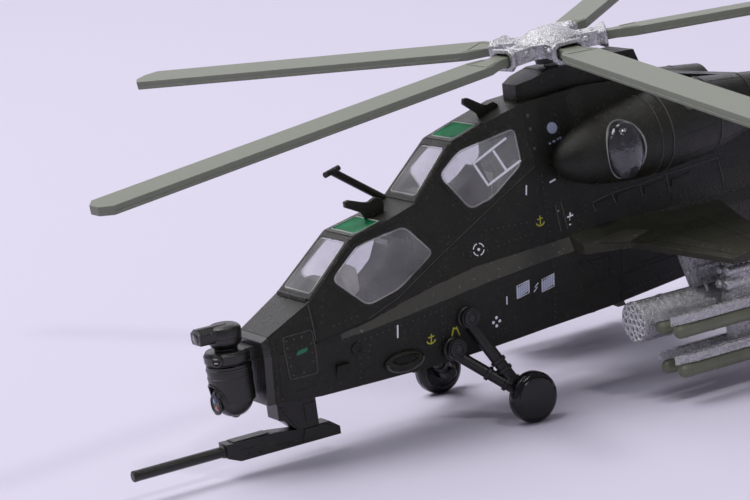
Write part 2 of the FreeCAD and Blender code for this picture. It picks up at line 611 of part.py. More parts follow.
def main():
    os.makedirs("parts", exist_ok=True)
    upper_hull = hull_upper()
    lower, deck, nose = build_fuselage()
    boom = loft([ring([b, o, i, w, r], y) for y, b, o, i, w, r in (STATIONS[-1], BOOM_END)])

    shaft_hole = on_mast(Part.makeCylinder(SHAFT_RADIUS + RUN, 30, V(0, 0, -25)))
    mast = build_mast().cut(shaft_hole)
    collar_room = on_mast(Part.makeCylinder(COLLAR_RADIUS + GAP, 10, V(0, 0, -HUB_THICK / 2 - 1.4 - GAP)))
    mast = mast.cut(collar_room)

    nacelle_left = nacelle()
    exhaust_left = exhaust()
    intake_left = intake().cut(nacelle_left)
    intake_left = largest(intake_left)
    wing_left = wing().cut(lower).cut(upper_hull)
    nacelle_left = nacelle_left.cut(upper_hull)
    exhaust_left = exhaust_left.cut(upper_hull)
    nacelle_left = largest(nacelle_left.cut(exhaust_left))
    pylon_in = inner_pylon().cut(wing_left).cut(pod())
    pylon_in = largest(pylon_in)
    rails, missiles = rails_and_missiles()
    pylon_out = outer_pylon().cut(wing_left)
    for rail in rails:
        pylon_out = pylon_out.fuse(rail)
    for missile in missiles:
        pylon_out = pylon_out.cut(missile)
    pylon_out = largest(pylon_out)
    leg_left = gear_leg().cut(lower)
    leg_left = largest(leg_left)

    pairs = {
        "engine_housing": [nacelle_left],
        "engine_intake": [intake_left],
        "exhaust": [exhaust_left],
        "stub_wing": [wing_left],
        "inner_pylon": [pylon_in],
        "rocket_pod": [pod()],
        "missile_rack": [pylon_out],
        "missiles": missiles,
        "main_leg": [leg_left],
        "main_wheel": [wheel()],
    }
    for name, shapes in pairs.items():
        save(f"{name}_left", *shapes)
        save(f"{name}_right", *[mirrored(s) for s in shapes])

    gun_hole = rod((0, GUN_PIVOT_Y, 0), (0, GUN_PIVOT_Y, STATIONS[1][1][1] + 3.2), 1.0 + RUN)
    screws = [belly_screw(y) for y in SCREW_Y]
    save("fuselage_screws", *screws)
    for y in SCREW_Y:
        lower = lower.cut(screw_hole(y))
    save("fuselage_lower", lower.cut(gun_hole))
    save("fuselage_upper", deck.cut(shaft_hole))
    save("nose_cap", nose)
    save("mast_fairing", mast)
    save("tail_boom", boom)
    build_cockpit()
    build_main_rotor()
    fin = build_tail(boom)
    build_tail_gear(boom, fin)
    build_gun()
    build_sensor(nose)
    cutters = [wire_cutter(-36.4, 36.2, 12), wire_cutter(-12.9, 47.3, 0)]
    save("wire_cutters", *[cutter.cut(upper_hull) for cutter in cutters])
    boom_tip = (-6.0, -40.0, 43.7)
    probe = rod((-4.6, -30.8, 36.8), boom_tip, 0.65)
    probe = probe.fuse(rod((-5.2, -41.7, 43.5), (-6.6, -38.4, 43.9), 0.5))
    save("air_data_boom", probe.cut(upper_hull))


main()
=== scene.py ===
"""Looks of a 1:72 tandem attack helicopter model: camera, light, finishes, and the small detail on the castings.

Helpers take millimetres in the part's own frame and store metres. Nose towards -Y, port side +X, up +Z,
origin on the ground under the rotor hub."""

import json
import math

import bmesh
import bpy
from mathutils import Matrix, Vector
from mathutils.bvhtree import BVHTree


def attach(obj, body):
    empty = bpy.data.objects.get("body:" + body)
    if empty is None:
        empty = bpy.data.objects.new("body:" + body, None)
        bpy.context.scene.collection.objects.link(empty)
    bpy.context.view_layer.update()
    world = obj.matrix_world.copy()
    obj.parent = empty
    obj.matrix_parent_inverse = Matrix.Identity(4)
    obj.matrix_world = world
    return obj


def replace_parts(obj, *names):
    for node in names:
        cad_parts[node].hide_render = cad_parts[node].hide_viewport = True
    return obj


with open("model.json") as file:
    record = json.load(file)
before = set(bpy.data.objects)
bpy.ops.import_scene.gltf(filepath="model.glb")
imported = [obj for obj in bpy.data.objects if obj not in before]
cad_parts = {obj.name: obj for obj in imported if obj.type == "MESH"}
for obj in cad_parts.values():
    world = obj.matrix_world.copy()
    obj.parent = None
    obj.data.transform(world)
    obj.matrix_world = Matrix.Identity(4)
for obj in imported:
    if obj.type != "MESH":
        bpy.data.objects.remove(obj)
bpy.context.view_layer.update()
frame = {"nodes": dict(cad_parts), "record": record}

MM = 0.001
NODES = frame["nodes"]
SLOT_OF = {part["node"]: part["material_slot"] for part in frame["record"]["subparts"]}

# ---------------------------------------------------------------- camera and light
CAMERA_AZIMUTH = 62.34       # from the nose round towards port, degrees
CAMERA_ELEVATION = 11.75
CAMERA_ROLL = -7.98
CAMERA_PLACE = (0.4278, -0.2615, 0.1311)
CAMERA_LENS = 146.2          # millimetres, on a 36 mm sensor
LAVENDER = (0.66, 0.63, 0.755)


def make_camera():
    az, el, roll = (math.radians(a) for a in (CAMERA_AZIMUTH, CAMERA_ELEVATION, CAMERA_ROLL))
    back = Vector((math.sin(az) * math.cos(el), -math.cos(az) * math.cos(el), math.sin(el)))
    level = Vector((0, 0, 1)).cross(back).normalized()
    right = level * math.cos(roll) + back.cross(level) * math.sin(roll)
    up = back.cross(right)
    data = bpy.data.cameras.new("camera")
    data.lens = CAMERA_LENS
    data.sensor_width = 36.0
    data.clip_start = 0.01
    data.clip_end = 20.0
    camera = bpy.data.objects.new("camera", data)
    camera.matrix_world = Matrix.Translation(CAMERA_PLACE) @ Matrix((right, up, back)).transposed().to_4x4()
    bpy.context.scene.collection.objects.link(camera)
    bpy.context.scene.camera = camera


def area_light(name, place, size, power, colour):
    data = bpy.data.lights.new(name, "AREA")
    data.shape = "RECTANGLE"
    data.size, data.size_y = size
    data.energy = power
    data.color = colour
    light = bpy.data.objects.new(name, data)
    aim = (Vector((0, 0, 0.03)) - Vector(place)).to_track_quat("-Z", "Y").to_matrix().to_4x4()
    light.matrix_world = Matrix.Translation(place) @ aim
    bpy.context.scene.collection.objects.link(light)


def make_stage():
    """A pale lavender table, a large soft lamp over the far side, a wide lamp in place of a pale wall, and a small lamp
    on the near side.
    """
    half = 3.0
    mesh = bpy.data.meshes.new("table")
    mesh.from_pydata([(-half, -half, 0), (half, -half, 0), (half, half, 0), (-half, half, 0)], [], [(0, 1, 2, 3)])
    table = bpy.data.objects.new("table", mesh)
    bpy.context.scene.collection.objects.link(table)
    mesh.materials.append(finish("table_paper", LAVENDER, 0.8, mottle=0.006, mottle_scale=25, bump=0.0))
    world = bpy.data.worlds.new("studio")
    bpy.context.scene.world = world
    world.use_nodes = True
    background = world.node_tree.nodes["Background"]
    background.inputs["Color"].default_value = (0.86, 0.84, 1.0, 1)
    background.inputs["Strength"].default_value = 0.23
    area_light("soft_key", (-0.52, -0.50, 1.50), (1.25, 1.25), 25.5, (1.0, 0.985, 1.0))
    area_light("side_fill", (0.80, 0.10, 0.95), (0.14, 0.14), 2.4, (1.0, 0.99, 0.96))
    area_light("back_wall", (-1.5, 0.9, 0.8), (2.2, 1.2), 8.0, (0.95, 0.93, 1.0))
    bpy.context.scene.view_settings.view_transform = "Standard"


# ---------------------------------------------------------------- finishes
def linear(red, green, blue):
    """An 8-bit display colour as linear values."""
    return tuple(((c / 255 + 0.055) / 1.055) ** 2.4 if c > 10 else c / 255 / 12.92 for c in (red, green, blue))


def link(tree, source, target):
    tree.links.new(source, target)


def node(tree, kind, settings=None, **inputs):
    """A shader node with its settings and inputs given by name; an input may be another node's output."""
    made = tree.nodes.new(kind)
    for key, value in (settings or {}).items():
        setattr(made, key, value)
    for key, value in inputs.items():
        socket = made.inputs[int(key[1:])] if key[0] == "_" else made.inputs[key.replace("_", " ")]
        if isinstance(value, bpy.types.NodeSocket):
            link(tree, value, socket)
        else:
            socket.default_value = value
    return made


def ramp(tree, factor, low, high):
    """Factor mapped so that low gives 0 and high gives 1."""
    return node(tree, "ShaderNodeMapRange", Value=factor, From_Min=low, From_Max=high).outputs["Result"]


def mix(tree, factor, first, second):
    """A colour between two others."""
    first, second = (c if isinstance(c, bpy.types.NodeSocket) else (*c, 1) for c in (first, second))
    return node(tree, "ShaderNodeMix", {"data_type": "RGBA"}, _0=factor, _6=first, _7=second).outputs[2]


def math_node(tree, operation, first, second):
    return node(tree, "ShaderNodeMath", {"operation": operation}, _0=first, _1=second).outputs[0]


def noise(tree, scale, detail=2.0, roughness=0.5):
    place = node(tree, "ShaderNodeTexCoord").outputs["Object"]
    made = node(tree, "ShaderNodeTexNoise", Vector=place, Scale=scale, Detail=detail, Roughness=roughness)
    return made.outputs["Fac"]


def new_material(name, **inputs):
    """A material, its tree and its shader, with the shader's inputs given by name."""
    material = bpy.data.materials.new(name)
    material.use_nodes = True
    shader = material.node_tree.nodes["Principled BSDF"]
    for key, value in inputs.items():
        shader.inputs[key.replace("_", " ")].default_value = value
    return material, material.node_tree, shader


def finish(name, colour, roughness, metallic=0.0, specular=0.5, mottle=0.18, mottle_scale=260.0, bump=0.08,
           grain=5200.0, wear_and_sheen=None, wear_and_sheen_share=0.5, speck=None, coat=0.0):
    """A painted or cast surface: blotches, fine grain, edges lightened to the wear colour, which is partly rubbed paint
    and partly a painted edge highlight, and small flecks.
    """
    material, tree, shader = new_material(name, Metallic=metallic, Specular_IOR_Level=specular, Coat_Weight=coat,
                                          Coat_Roughness=0.12)
    blotch = noise(tree, mottle_scale, 4.0, 0.6)
    fine = noise(tree, grain, 2.0, 0.6)
    dark = tuple(c * (1 - mottle) for c in colour)
    light = tuple(min(1.0, c * (1 + mottle)) for c in colour)
    tone = mix(tree, ramp(tree, blotch, 0.3, 0.7), dark, light)
    if speck:
        flecks = ramp(tree, noise(tree, grain * 0.45, 1.0, 0.4), 0.70, 0.74)
        tone = mix(tree, flecks, tone, speck)
    # Edges lighten to the wear colour: partly rubbed paint, partly a painted edge highlight.
    if wear_and_sheen:
        rounded = node(tree, "ShaderNodeBevel", {"samples": 4}, Radius=0.16 * MM).outputs["Normal"]
        normal = node(tree, "ShaderNodeNewGeometry").outputs["Normal"]
        flat = node(tree, "ShaderNodeVectorMath", {"operation": "DOT_PRODUCT"}, _0=rounded, _1=normal).outputs["Value"]
        edge = ramp(tree, flat, 0.985, 0.90)
        patchy = ramp(tree, noise(tree, 900.0, 5.0, 0.75), 0.62 - 0.3 * wear_and_sheen_share, 0.82 - 0.3 * wear_and_sheen_share)
        tone = mix(tree, math_node(tree, "MULTIPLY", edge, patchy), tone, wear_and_sheen)
    link(tree, tone, shader.inputs["Base Color"])
    rough = node(tree, "ShaderNodeMapRange", Value=blotch, To_Min=max(0.02, roughness * 0.82),
                 To_Max=min(1.0, roughness * 1.2))
    link(tree, rough.outputs["Result"], shader.inputs["Roughness"])
    relief = math_node(tree, "ADD", fine, math_node(tree, "MULTIPLY", blotch, 0.6))
    raised = node(tree, "ShaderNodeBump", Height=relief, Strength=1.0, Distance=bump * MM)
    link(tree, raised.outputs["Normal"], shader.inputs["Normal"])
    return material


def clear_plastic(name, tint, haze, colour=(0.8, 0.8, 0.82), roughness=0.06):
    """A thin clear moulding: lets light through, glossy, with a little haze and dust."""
    material, tree, shader = new_material(name, Roughness=roughness, Base_Color=(*colour, 1))
    ripple = node(tree, "ShaderNodeBump", Height=noise(tree, 260.0, 2.0), Strength=0.5, Distance=0.05 * MM)
    link(tree, ripple.outputs["Normal"], shader.inputs["Normal"])
    through = node(tree, "ShaderNodeBsdfTransparent", Color=(*tint, 1))
    dust = math_node(tree, "MULTIPLY", ramp(tree, noise(tree, 2600.0, 3.0, 0.7), 0.62, 0.80), 0.14)
    veil = math_node(tree, "ADD", math_node(tree, "MULTIPLY", noise(tree, 160.0, 2.0), haze * 2.0), dust)
    sheen = node(tree, "ShaderNodeFresnel", IOR=1.5).outputs[0]
    outside = math_node(tree, "SUBTRACT", 1.0, node(tree, "ShaderNodeNewGeometry").outputs["Backfacing"])
    covered = node(tree, "ShaderNodeMath", {"operation": "ADD", "use_clamp": True}, _0=veil, _1=sheen).outputs[0]
    share = math_node(tree, "MULTIPLY", covered, outside)
    blend = node(tree, "ShaderNodeMixShader", _0=share, _1=through.outputs[0], _2=shader.outputs[0])
    link(tree, blend.outputs[0], tree.nodes["Material Output"].inputs["Surface"])
    return material


# Edge colour of the olive paints: partly rubbed paint, partly a painted edge highlight.
RUB_AND_SHEEN = linear(112, 108, 88)
FINISHES = {
    "body_paint": finish("olive_black_paint", linear(31, 31, 24), 0.26, specular=0.32, mottle=0.2, bump=0.13,
                         wear_and_sheen=RUB_AND_SHEEN, wear_and_sheen_share=0.5, speck=linear(60, 60, 50)),
    "blade_paint": finish("blade_grey_paint", linear(119, 124, 109), 0.45, specular=0.4, mottle=0.05, bump=0.04,
                          wear_and_sheen=linear(172, 172, 160), wear_and_sheen_share=0.6),
    # The silver's white flecks are painted glints, standing in for the sparkle of its sandy surface.
    "silver_paint": finish("silver_paint", linear(198, 198, 200), 0.27, metallic=0.85, mottle=0.12, mottle_scale=900,
                           bump=0.22, grain=4600, speck=linear(250, 250, 250)),
    # Near-white, barely metallic silver for the tube mouths: a painted highlight that brightens their lips.
    "grille_silver": finish("grille_silver", linear(248, 248, 250), 0.36, metallic=0.15, mottle=0.10,
                            mottle_scale=1400, bump=0.16, grain=3000, speck=linear(225, 225, 226)),
    "burnt_metal": finish("burnt_metal", linear(58, 52, 46), 0.5, metallic=0.6, mottle=0.35, mottle_scale=500),
    "missile_olive": finish("missile_olive_paint", linear(106, 109, 92), 0.36, specular=0.5, mottle=0.1, bump=0.05,
                            wear_and_sheen=linear(140, 140, 118), wear_and_sheen_share=0.4),
    "tyre_black": finish("tyre_gloss_black", linear(14, 14, 16), 0.14, specular=0.4, mottle=0.2, bump=0.02, coat=0.1),
    "gear_black": finish("gear_black_paint", linear(26, 26, 25), 0.32, specular=0.5, mottle=0.2, bump=0.06,
                         wear_and_sheen=linear(105, 105, 100), wear_and_sheen_share=0.25),
    "gun_black": finish("gun_black_paint", linear(28, 28, 23), 0.22, specular=0.5, mottle=0.15, bump=0.09,
                        wear_and_sheen=linear(110, 108, 98), wear_and_sheen_share=0.35),
    "sensor_black": finish("sensor_black_paint", linear(28, 28, 25), 0.22, specular=0.6, mottle=0.15, bump=0.07,
                           wear_and_sheen=linear(100, 100, 98), wear_and_sheen_share=0.3),
    "steel": finish("screw_steel", linear(170, 168, 162), 0.35, metallic=0.9, mottle=0.2, mottle_scale=1200),
    "cockpit_plastic": finish("cockpit_grey", linear(214, 211, 204), 0.5, mottle=0.08, bump=0.05),
    "clear_panes": clear_plastic("clear_panes", (0.95, 0.94, 0.96), 0.12),
    "green_panes": finish("green_pane", linear(12, 104, 64), 0.4, specular=0.06, mottle=0.45, mottle_scale=300,
                          bump=0.03),
}
DARK_COCKPIT = finish("cockpit_dark", linear(42, 41, 46), 0.6, mottle=0.35, mottle_scale=1500, bump=0.2, grain=4200)
SEAT_GREEN = finish("seat_grey_green", linear(112, 122, 112), 0.5, mottle=0.2, mottle_scale=1200, bump=0.12, grain=3600)
MARK_WHITE = finish("mark_white", linear(244, 246, 255), 0.5, mottle=0.06, mottle_scale=2500, bump=0.02)
MARK_BLUE = finish("mark_blue_grey", linear(172, 182, 206), 0.5, mottle=0.1, mottle_scale=3000, bump=0.02)
MARK_YELLOW = finish("mark_yellow", linear(186, 184, 52), 0.5, mottle=0.1, mottle_scale=2500, bump=0.02)
MARK_GREEN = finish("mark_green", linear(26, 116, 78), 0.45, mottle=0.1, mottle_scale=2500, bump=0.02)
# Near black for engraved panel lines, gaps and recesses: painted shade standing in for the dark inside of the grooves.
GROOVE_SHADE = finish("painted_groove_shade", linear(10, 10, 9), 0.7, mottle=0.2, bump=0.02)
# Lighter olive for rivets, rims, ribs, seams and screw slots: partly rubbed paint, partly a painted highlight for their
# glints.
RUB_AND_GLINT_EDGE = finish("rub_and_glint_edge", linear(74, 74, 66), 0.42, mottle=0.4, mottle_scale=1800, bump=0.06)
PALE_TRIM = clear_plastic("pane_edge", (0.8, 0.8, 0.82), 0.34, colour=(0.75, 0.75, 0.72), roughness=0.12)
SIDE_PANE = clear_plastic("side_pane", (0.94, 0.94, 0.95), 0.19, colour=(0.86, 0.86, 0.86))
LENS_BLUE = finish("lens_blue", linear(40, 90, 150), 0.06, mottle=0.2, bump=0.0, coat=1.0)
LENS_RED = finish("lens_red", linear(170, 40, 36), 0.08, mottle=0.2, bump=0.0, coat=1.0)
# Lighter olive with flecks for the ledge's upward faces: a painted highlight where light falls on them.
LEDGE_PAINTED_HIGHLIGHT = finish("ledge_painted_highlight", linear(70, 70, 62), 0.45, specular=0.45, mottle=0.12, mottle_scale=1500,
                     bump=0.14, grain=3600, speck=linear(108, 108, 99))
GLASS_GREY = finish("insert_glass", linear(44, 44, 48), 0.10, mottle=0.35, mottle_scale=420, bump=0.25, grain=900,
                    specular=0.6, coat=0.8)

# ---------------------------------------------------------------- CAD nodes: finish and softened edges
SOFT_EDGE = {"fuselage_upper": 0.16, "fuselage_lower": 0.16, "nose_cap": 0.16, "canopy_frame": 0.12,
             "main_wheel_left": 0.5, "main_wheel_right": 0.5, "tail_wheel": 0.3, "missiles_left": 0.06,
             "missiles_right": 0.06, "rocket_pod_left": 0.06, "rocket_pod_right": 0.06, "turret_ball": 0.06,
             "turret_cup": 0.1, "seats": 0.3, "fuselage_screws": 0.05, "tail_axle": 0.05, "tail_rotor_pin": 0.05}


def round_edges(obj, width, angle):
    """Rounds the edges that turn by more than an angle in degrees."""
    bevel = obj.modifiers.new("edges", "BEVEL")
    bevel.width = width * MM
    bevel.segments = 2
    bevel.limit_method = "ANGLE"
    bevel.angle_limit = math.radians(angle)
    return bevel


def soften(obj, width):
    """Joins the node's split edges, merges its flat facets, and rounds what is still an edge."""
    weld = obj.modifiers.new("weld", "WELD")
    weld.merge_threshold = 0.004 * MM
    flat = obj.modifiers.new("flatten", "DECIMATE")
    flat.decimate_type = "DISSOLVE"
    flat.angle_limit = math.radians(0.6)
    round_edges(obj, width, 32)
    normals = obj.modifiers.new("normals", "WEIGHTED_NORMAL")
    normals.keep_sharp = False


for name, obj in NODES.items():
    slot = SLOT_OF[name]
    obj.data.materials.clear()
    obj.data.materials.append(FINISHES[slot])
    if slot != "clear_panes":
        soften(obj, SOFT_EDGE.get(name, 0.1))
for name in ("instrument_panels", "cockpit_tub"):
    NODES[name].data.materials[0] = DARK_COCKPIT
for name in NODES:
    if name.endswith("side_windows"):
        NODES[name].data.materials[0] = SIDE_PANE
for name in ("engine_intake_left", "engine_intake_right"):
    NODES[name].data.materials[0] = GLASS_GREY
# A lighter copy of the body paint for the stub wings: painted light, so the wing tops look brighter than the same paint
# on the hull.
WING_PAINTED_LIGHT = finish("wing_painted_light", linear(56, 56, 46), 0.36, specular=0.3, mottle=0.2, bump=0.13, wear_and_sheen=RUB_AND_SHEEN,
                    wear_and_sheen_share=0.6, speck=linear(92, 92, 80))
for name in ("stub_wing_left", "stub_wing_right"):
    NODES[name].data.materials[0] = WING_PAINTED_LIGHT
NODES["nose_cap"].data.materials[0] = finish("nose_paint", linear(30, 30, 25), 0.24, specular=0.7, mottle=0.12,
                                             bump=0.05, wear_and_sheen=RUB_AND_SHEEN, wear_and_sheen_share=0.5)

# ---------------------------------------------------------------- surfaces that details sit on
def tree_of(*names):
    """A ray-casting tree of CAD nodes, in millimetres."""
    points, faces = [], []
    for name in names:
        base = len(points)
        points += [v.co / MM for v in NODES[name].data.vertices]
        faces += [[base + i for i in p.vertices] for p in NODES[name].data.polygons]
    return BVHTree.FromPolygons(points, faces)


PANE_NODES = [n for n in NODES if n.endswith(("windscreen", "roof_pane", "side_windows"))]
HULL = tree_of("fuselage_upper", "fuselage_lower", "nose_cap", "canopy_frame", "tail_boom", *PANE_NODES)
DECK = tree_of("fuselage_upper", "mast_fairing", "tail_boom", "engine_housing_left", "engine_housing_right")
FIN = tree_of("tail_fin")
WING = tree_of("stub_wing_left")
ENGINE = tree_of("engine_housing_left", "engine_intake_left")


def cast(tree, start, direction):
    """Where a ray meets a surface, and the outward normal there."""
    place, normal, *_ = tree.ray_cast(Vector(start), Vector(direction).normalized())
    if place is None:
        return None
    return place, (-normal if normal.dot(Vector(direction)) > 0 else normal)


def flank(y, z, tree=None):
    """Port side of the hull at a station and a height."""
    return cast(tree or HULL, (60, y, z), (-1, 0, 0))


def above(x, y, tree=None):
    return cast(tree or HULL, (x, y, 56), (0, 0, -1))


def around(y, angle, tree=None):
    """Outside of the port engine housing at a station, at an angle from outboard."""
    middle = Vector((9.4, y, 40.9 + 0.087 * (y - 12)))
    out = Vector((math.cos(math.radians(angle)), 0, math.sin(math.radians(angle))))
    return cast(tree or ENGINE, middle + out * 20, -out)


def fin_side(y, z):
    return flank(y, z, FIN)


def wing_top(x, y):
    return above(x, y, WING)


def deck_top(x, y):
    return above(x, y, DECK)


def neighbours(path, i, closed):
    """What comes after and before the i-th of a path; an end stands in for what it lacks."""
    return (path[(i + 1) % len(path)] if closed or i + 1 < len(path) else path[i],
            path[i - 1] if closed or i else path[i])


PORT, AFT, UP = (1, 0, 0), (0, 1, 0), (0, 0, 1)


class Shape:
    """Vertices in millimetres and faces, gathered for one piece."""

    def __init__(self):
        self.points, self.faces = [], []

    def add(self, points, faces):
        base = len(self.points)
        self.points += [Vector(p) for p in points]
        self.faces += [[base + i for i in f] for f in faces]
        return self

    def rings(self, rings, closed=False, capped=True):
        """Skin over rings that have the same number of points."""
        n, count = len(rings[0]), len(rings)
        faces = [(i * n + j, i * n + (j + 1) % n, (i + 1) % count * n + (j + 1) % n, (i + 1) % count * n + j)
                 for i in range(count if closed else count - 1) for j in range(n)]
        if capped and not closed:
            faces += [list(reversed(range(n))), [(count - 1) * n + j for j in range(n)]]
        return self.add([p for ring in rings for p in ring], faces)

    def tube(self, path, radius, sides=8, closed=False):
        """A round bar along a path; radius is one number, or one per point."""
        path = [Vector(p) for p in path]
        radii = radius if isinstance(radius, (list, tuple)) else [radius] * len(path)
        rings, side = [], None
        for i, place in enumerate(path):
            ahead, behind = neighbours(path, i, closed)
            along = (ahead - behind).normalized()
            side = side - along * side.dot(along) if side else along.orthogonal()
            side.normalize()
            up = along.cross(side)
            rings.append([place + (side * math.cos(a) + up * math.sin(a)) * radii[i]
                          for a in (math.tau * j / sides for j in range(sides))])
        return self.rings(rings, closed)

    def ribbon(self, hits, width, height, closed=False):
        """A flat strip laid on a surface along a path of (place, normal)."""
        rings = []
        for i, (place, normal) in enumerate(hits):
            (ahead, _), (behind, _) = neighbours(hits, i, closed)
            across = normal.cross(ahead - behind).normalized() * width / 2
            low, high = normal * -0.05, normal * height
            rings.append([place - across + low, place + across + low, place + across * 0.8 + high,
                          place - across * 0.8 + high])
        return self.rings(rings, closed)

    def patch(self, outline, height, surface, rows=10, cols=8):
        """A raised plate that follows a surface, over a convex outline; height may be a function of the place."""
        rise = height if callable(height) else lambda u, v: height
        low, high = min(v for _, v in outline), max(v for _, v in outline)
        grid = []
        for i in range(rows + 1):
            v = low + (high - low) * (0.002 + 0.996 * i / rows)
            cuts = []
            for (u0, v0), (u1, v1) in zip(outline, outline[1:] + outline[:1]):
                if (v0 - v) * (v1 - v) <= 0 and v0 != v1:
                    cuts.append(u0 + (u1 - u0) * (v - v0) / (v1 - v0))
            grid.append([(min(cuts) + (max(cuts) - min(cuts)) * j / cols, v) for j in range(cols + 1)])
        top, foot = [], []
        for row in grid:
            for u, v in row:
                place, normal = surface(u, v)
                top.append(place + normal * rise(u, v))
                foot.append(place - normal * 0.08)
        n = cols + 1
        faces = [(i * n + j, i * n + j + 1, (i + 1) * n + j + 1, (i + 1) * n + j)
                 for i in range(rows) for j in range(cols)]
        rim = list(range(cols)) + [i * n + cols for i in range(rows)]
        rim += [rows * n + j for j in range(cols, 0, -1)] + [i * n for i in range(rows, 0, -1)]
        shift = len(top)
        faces += [(a, a + shift, b + shift, b) for a, b in zip(rim, rim[1:] + rim[:1])]
        return self.add(top + foot, faces)

    def turned(self, start, along, profile, sides=24, capped=True):
        """A turned piece: profile is (distance along the axis, radius) pairs."""
        along = Vector(along).normalized()
        side = along.orthogonal().normalized()
        up = along.cross(side)
        rings = [[Vector(start) + along * d + (side * math.cos(a) + up * math.sin(a)) * r
                  for a in (math.tau * j / sides for j in range(sides))] for d, r in profile]
        return self.rings(rings, capped=capped)

    def stud(self, hit, radius, height, sides=10):
        """A low round head on a surface."""
        place, normal = hit
        return self.turned(place - normal * 0.05, normal, [(0, radius), (0.05 + height * 0.6, radius),
                                                           (0.05 + height, radius * 0.6)], sides)

    def prism(self, outline, extrude):
        """A closed outline moved along a vector."""
        far = [Vector(p) + Vector(extrude) for p in outline]
        return self.rings([outline, far])

    def plate(self, x, outline, thick):
        """A side-view outline that starts at x, thickened along X."""
        return self.prism([(x, y, z) for y, z in outline], (thick, 0, 0))

    def block(self, low, high):
        (x0, y0, z0), (x1, y1, z1) = low, high
        return self.prism([(x0, y0, z0), (x1, y0, z0), (x1, y1, z0), (x0, y1, z0)], (0, 0, z1 - z0))

    def moved(self, matrix):
        self.points = [matrix @ p for p in self.points]
        return self

    def join(self, other):
        return self.add(other.points, other.faces)

    def both_sides(self):
        """Adds the mirror image on the starboard side."""
        mirror = [Vector((-p.x, p.y, p.z)) for p in self.points]
        return self.add(mirror, [list(reversed(f)) for f in self.faces])

    def save(self, name, body, slot, material=None, bevel=0.0, smooth=38.0):
        """Makes the Blender object, riding on a body."""
        mesh = bpy.data.meshes.new(name)
        mesh.from_pydata([p * MM for p in self.points], [], self.faces)
        mesh.materials.append(material or FINISHES[slot])
        mesh.shade_smooth()
        obj = bpy.data.objects.new(name, mesh)
        bpy.context.scene.collection.objects.link(obj)
        outward(mesh)
        mesh.set_sharp_from_angle(angle=math.radians(smooth))
        if bevel:
            round_edges(obj, bevel, 34).harden_normals = True
        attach(obj, body)
        return obj


def save_pair(shape, name, material=None, bevel=0.0, slot="body_paint"):
    """Saves a port-side piece of the airframe together with its mirror image."""
    return shape.both_sides().save(name, "airframe", slot, material, bevel)


def outward(mesh):
    """Turns every face to look out of the piece."""
    work = bmesh.new()
    work.from_mesh(mesh)
    bmesh.ops.recalc_face_normals(work, faces=work.faces)
    work.to_mesh(mesh)
    work.free()


def spaced(path, step):
    """Points along a flat path, at most step apart, corners kept."""
    made = []
    for (u0, v0), (u1, v1) in zip(path, path[1:]):
        count = max(1, math.ceil(math.hypot(u1 - u0, v1 - v0) / step))
        made += [(u0 + (u1 - u0) * i / count, v0 + (v1 - v0) * i / count) for i in range(count)]
    return made + [path[-1]]


def corners(outline):
    """Each corner of a closed flat outline, between the one before it and the one after it."""
    for i, corner in enumerate(outline):
        yield Vector(outline[i - 1]), Vector(corner), Vector(outline[(i + 1) % len(outline)])


def rounded(outline, radius, steps=4):
    """A closed flat outline with its corners rounded."""
    made = []
    for before, here, after in corners(outline):
        start = here + (before - here).normalized() * radius
        end = here + (after - here).normalized() * radius
        for j in range(steps + 1):
            t = j / steps
            point = start * (1 - t) ** 2 + here * 2 * t * (1 - t) + end * t ** 2
            made.append((point.x, point.y))
    return made


def grown(outline, margin):
    """A convex outline moved outwards by a margin."""
    middle = Vector((sum(u for u, _ in outline), sum(v for _, v in outline))) / len(outline)
    made = []
    for before, here, after in corners(outline):
        lines = []
        for a, b in ((before, here), (here, after)):
            side = Vector(((b - a).y, -(b - a).x)).normalized()
            lines.append(side if side.dot((a + b) / 2 - middle) > 0 else -side)
        bisector = (lines[0] + lines[1]).normalized()
        made.append(tuple(here + bisector * margin / max(0.3, bisector.dot(lines[0]))))
    return made


def points(flat):
    """Pairs out of a run of numbers."""
    return list(zip(flat[::2], flat[1::2]))


def circle(u, v, radius, count=16, start=0.0, sweep=360.0):
    angles = [math.radians(start + sweep * i / count) for i in range(count + (sweep < 360))]
    return [(u + radius * math.cos(a), v + radius * math.sin(a)) for a in angles]


def line(shape, path, width=0.14, height=0.02, surface=flank, step=0.8, closed=False):
    """A strip along a flat path on a surface."""
    path = path + path[:1] if closed else path
    hits = [surface(u, v) for u, v in spaced(path, step)]
    hits = [hit for hit in hits if hit]
    if closed:
        hits.pop()
    return shape.ribbon(hits, width, height, closed)


def studs(shape, path, step, radius=0.13, height=0.06, surface=flank):
    """A row of rivets along a flat path."""
    for (u0, v0), (u1, v1) in zip(path, path[1:]):
        count = max(1, round(math.hypot(u1 - u0, v1 - v0) / step))
        for i in range(count + 1):
            hit = surface(u0 + (u1 - u0) * i / count, v0 + (v1 - v0) * i / count)
            if hit:
                shape.stud(hit, radius, height, 6)
    return shape


# ---------------------------------------------------------------- canopy
SIDE_WINDOWS = ([(-49.2, 28.9), (-43.3, 33.6), (-34.3, 35.0), (-29.8, 29.4), (-37.4, 24.7), (-43.6, 23.2)],
                [(-27.0, 41.3), (-22.6, 44.6), (-11.4, 46.6), (-11.4, 40.0), (-17.9, 35.6), (-22.6, 34.4)])
ROOF_WINDOWS = ((-52.7, 5.0, -44.1, 4.4), (-43.2, 4.5, -37.4, 4.5), (-31.3, 4.7, -23.7, 4.0), (-22.7, 4.1, -17.1, 4.1))
CANOPY_LOWER = [(-53.2, 19.8), (-43.8, 21.3), (-38.0, 23.4), (-29.4, 28.4), (-19.7, 33.7), (-9.6, 39.1)]


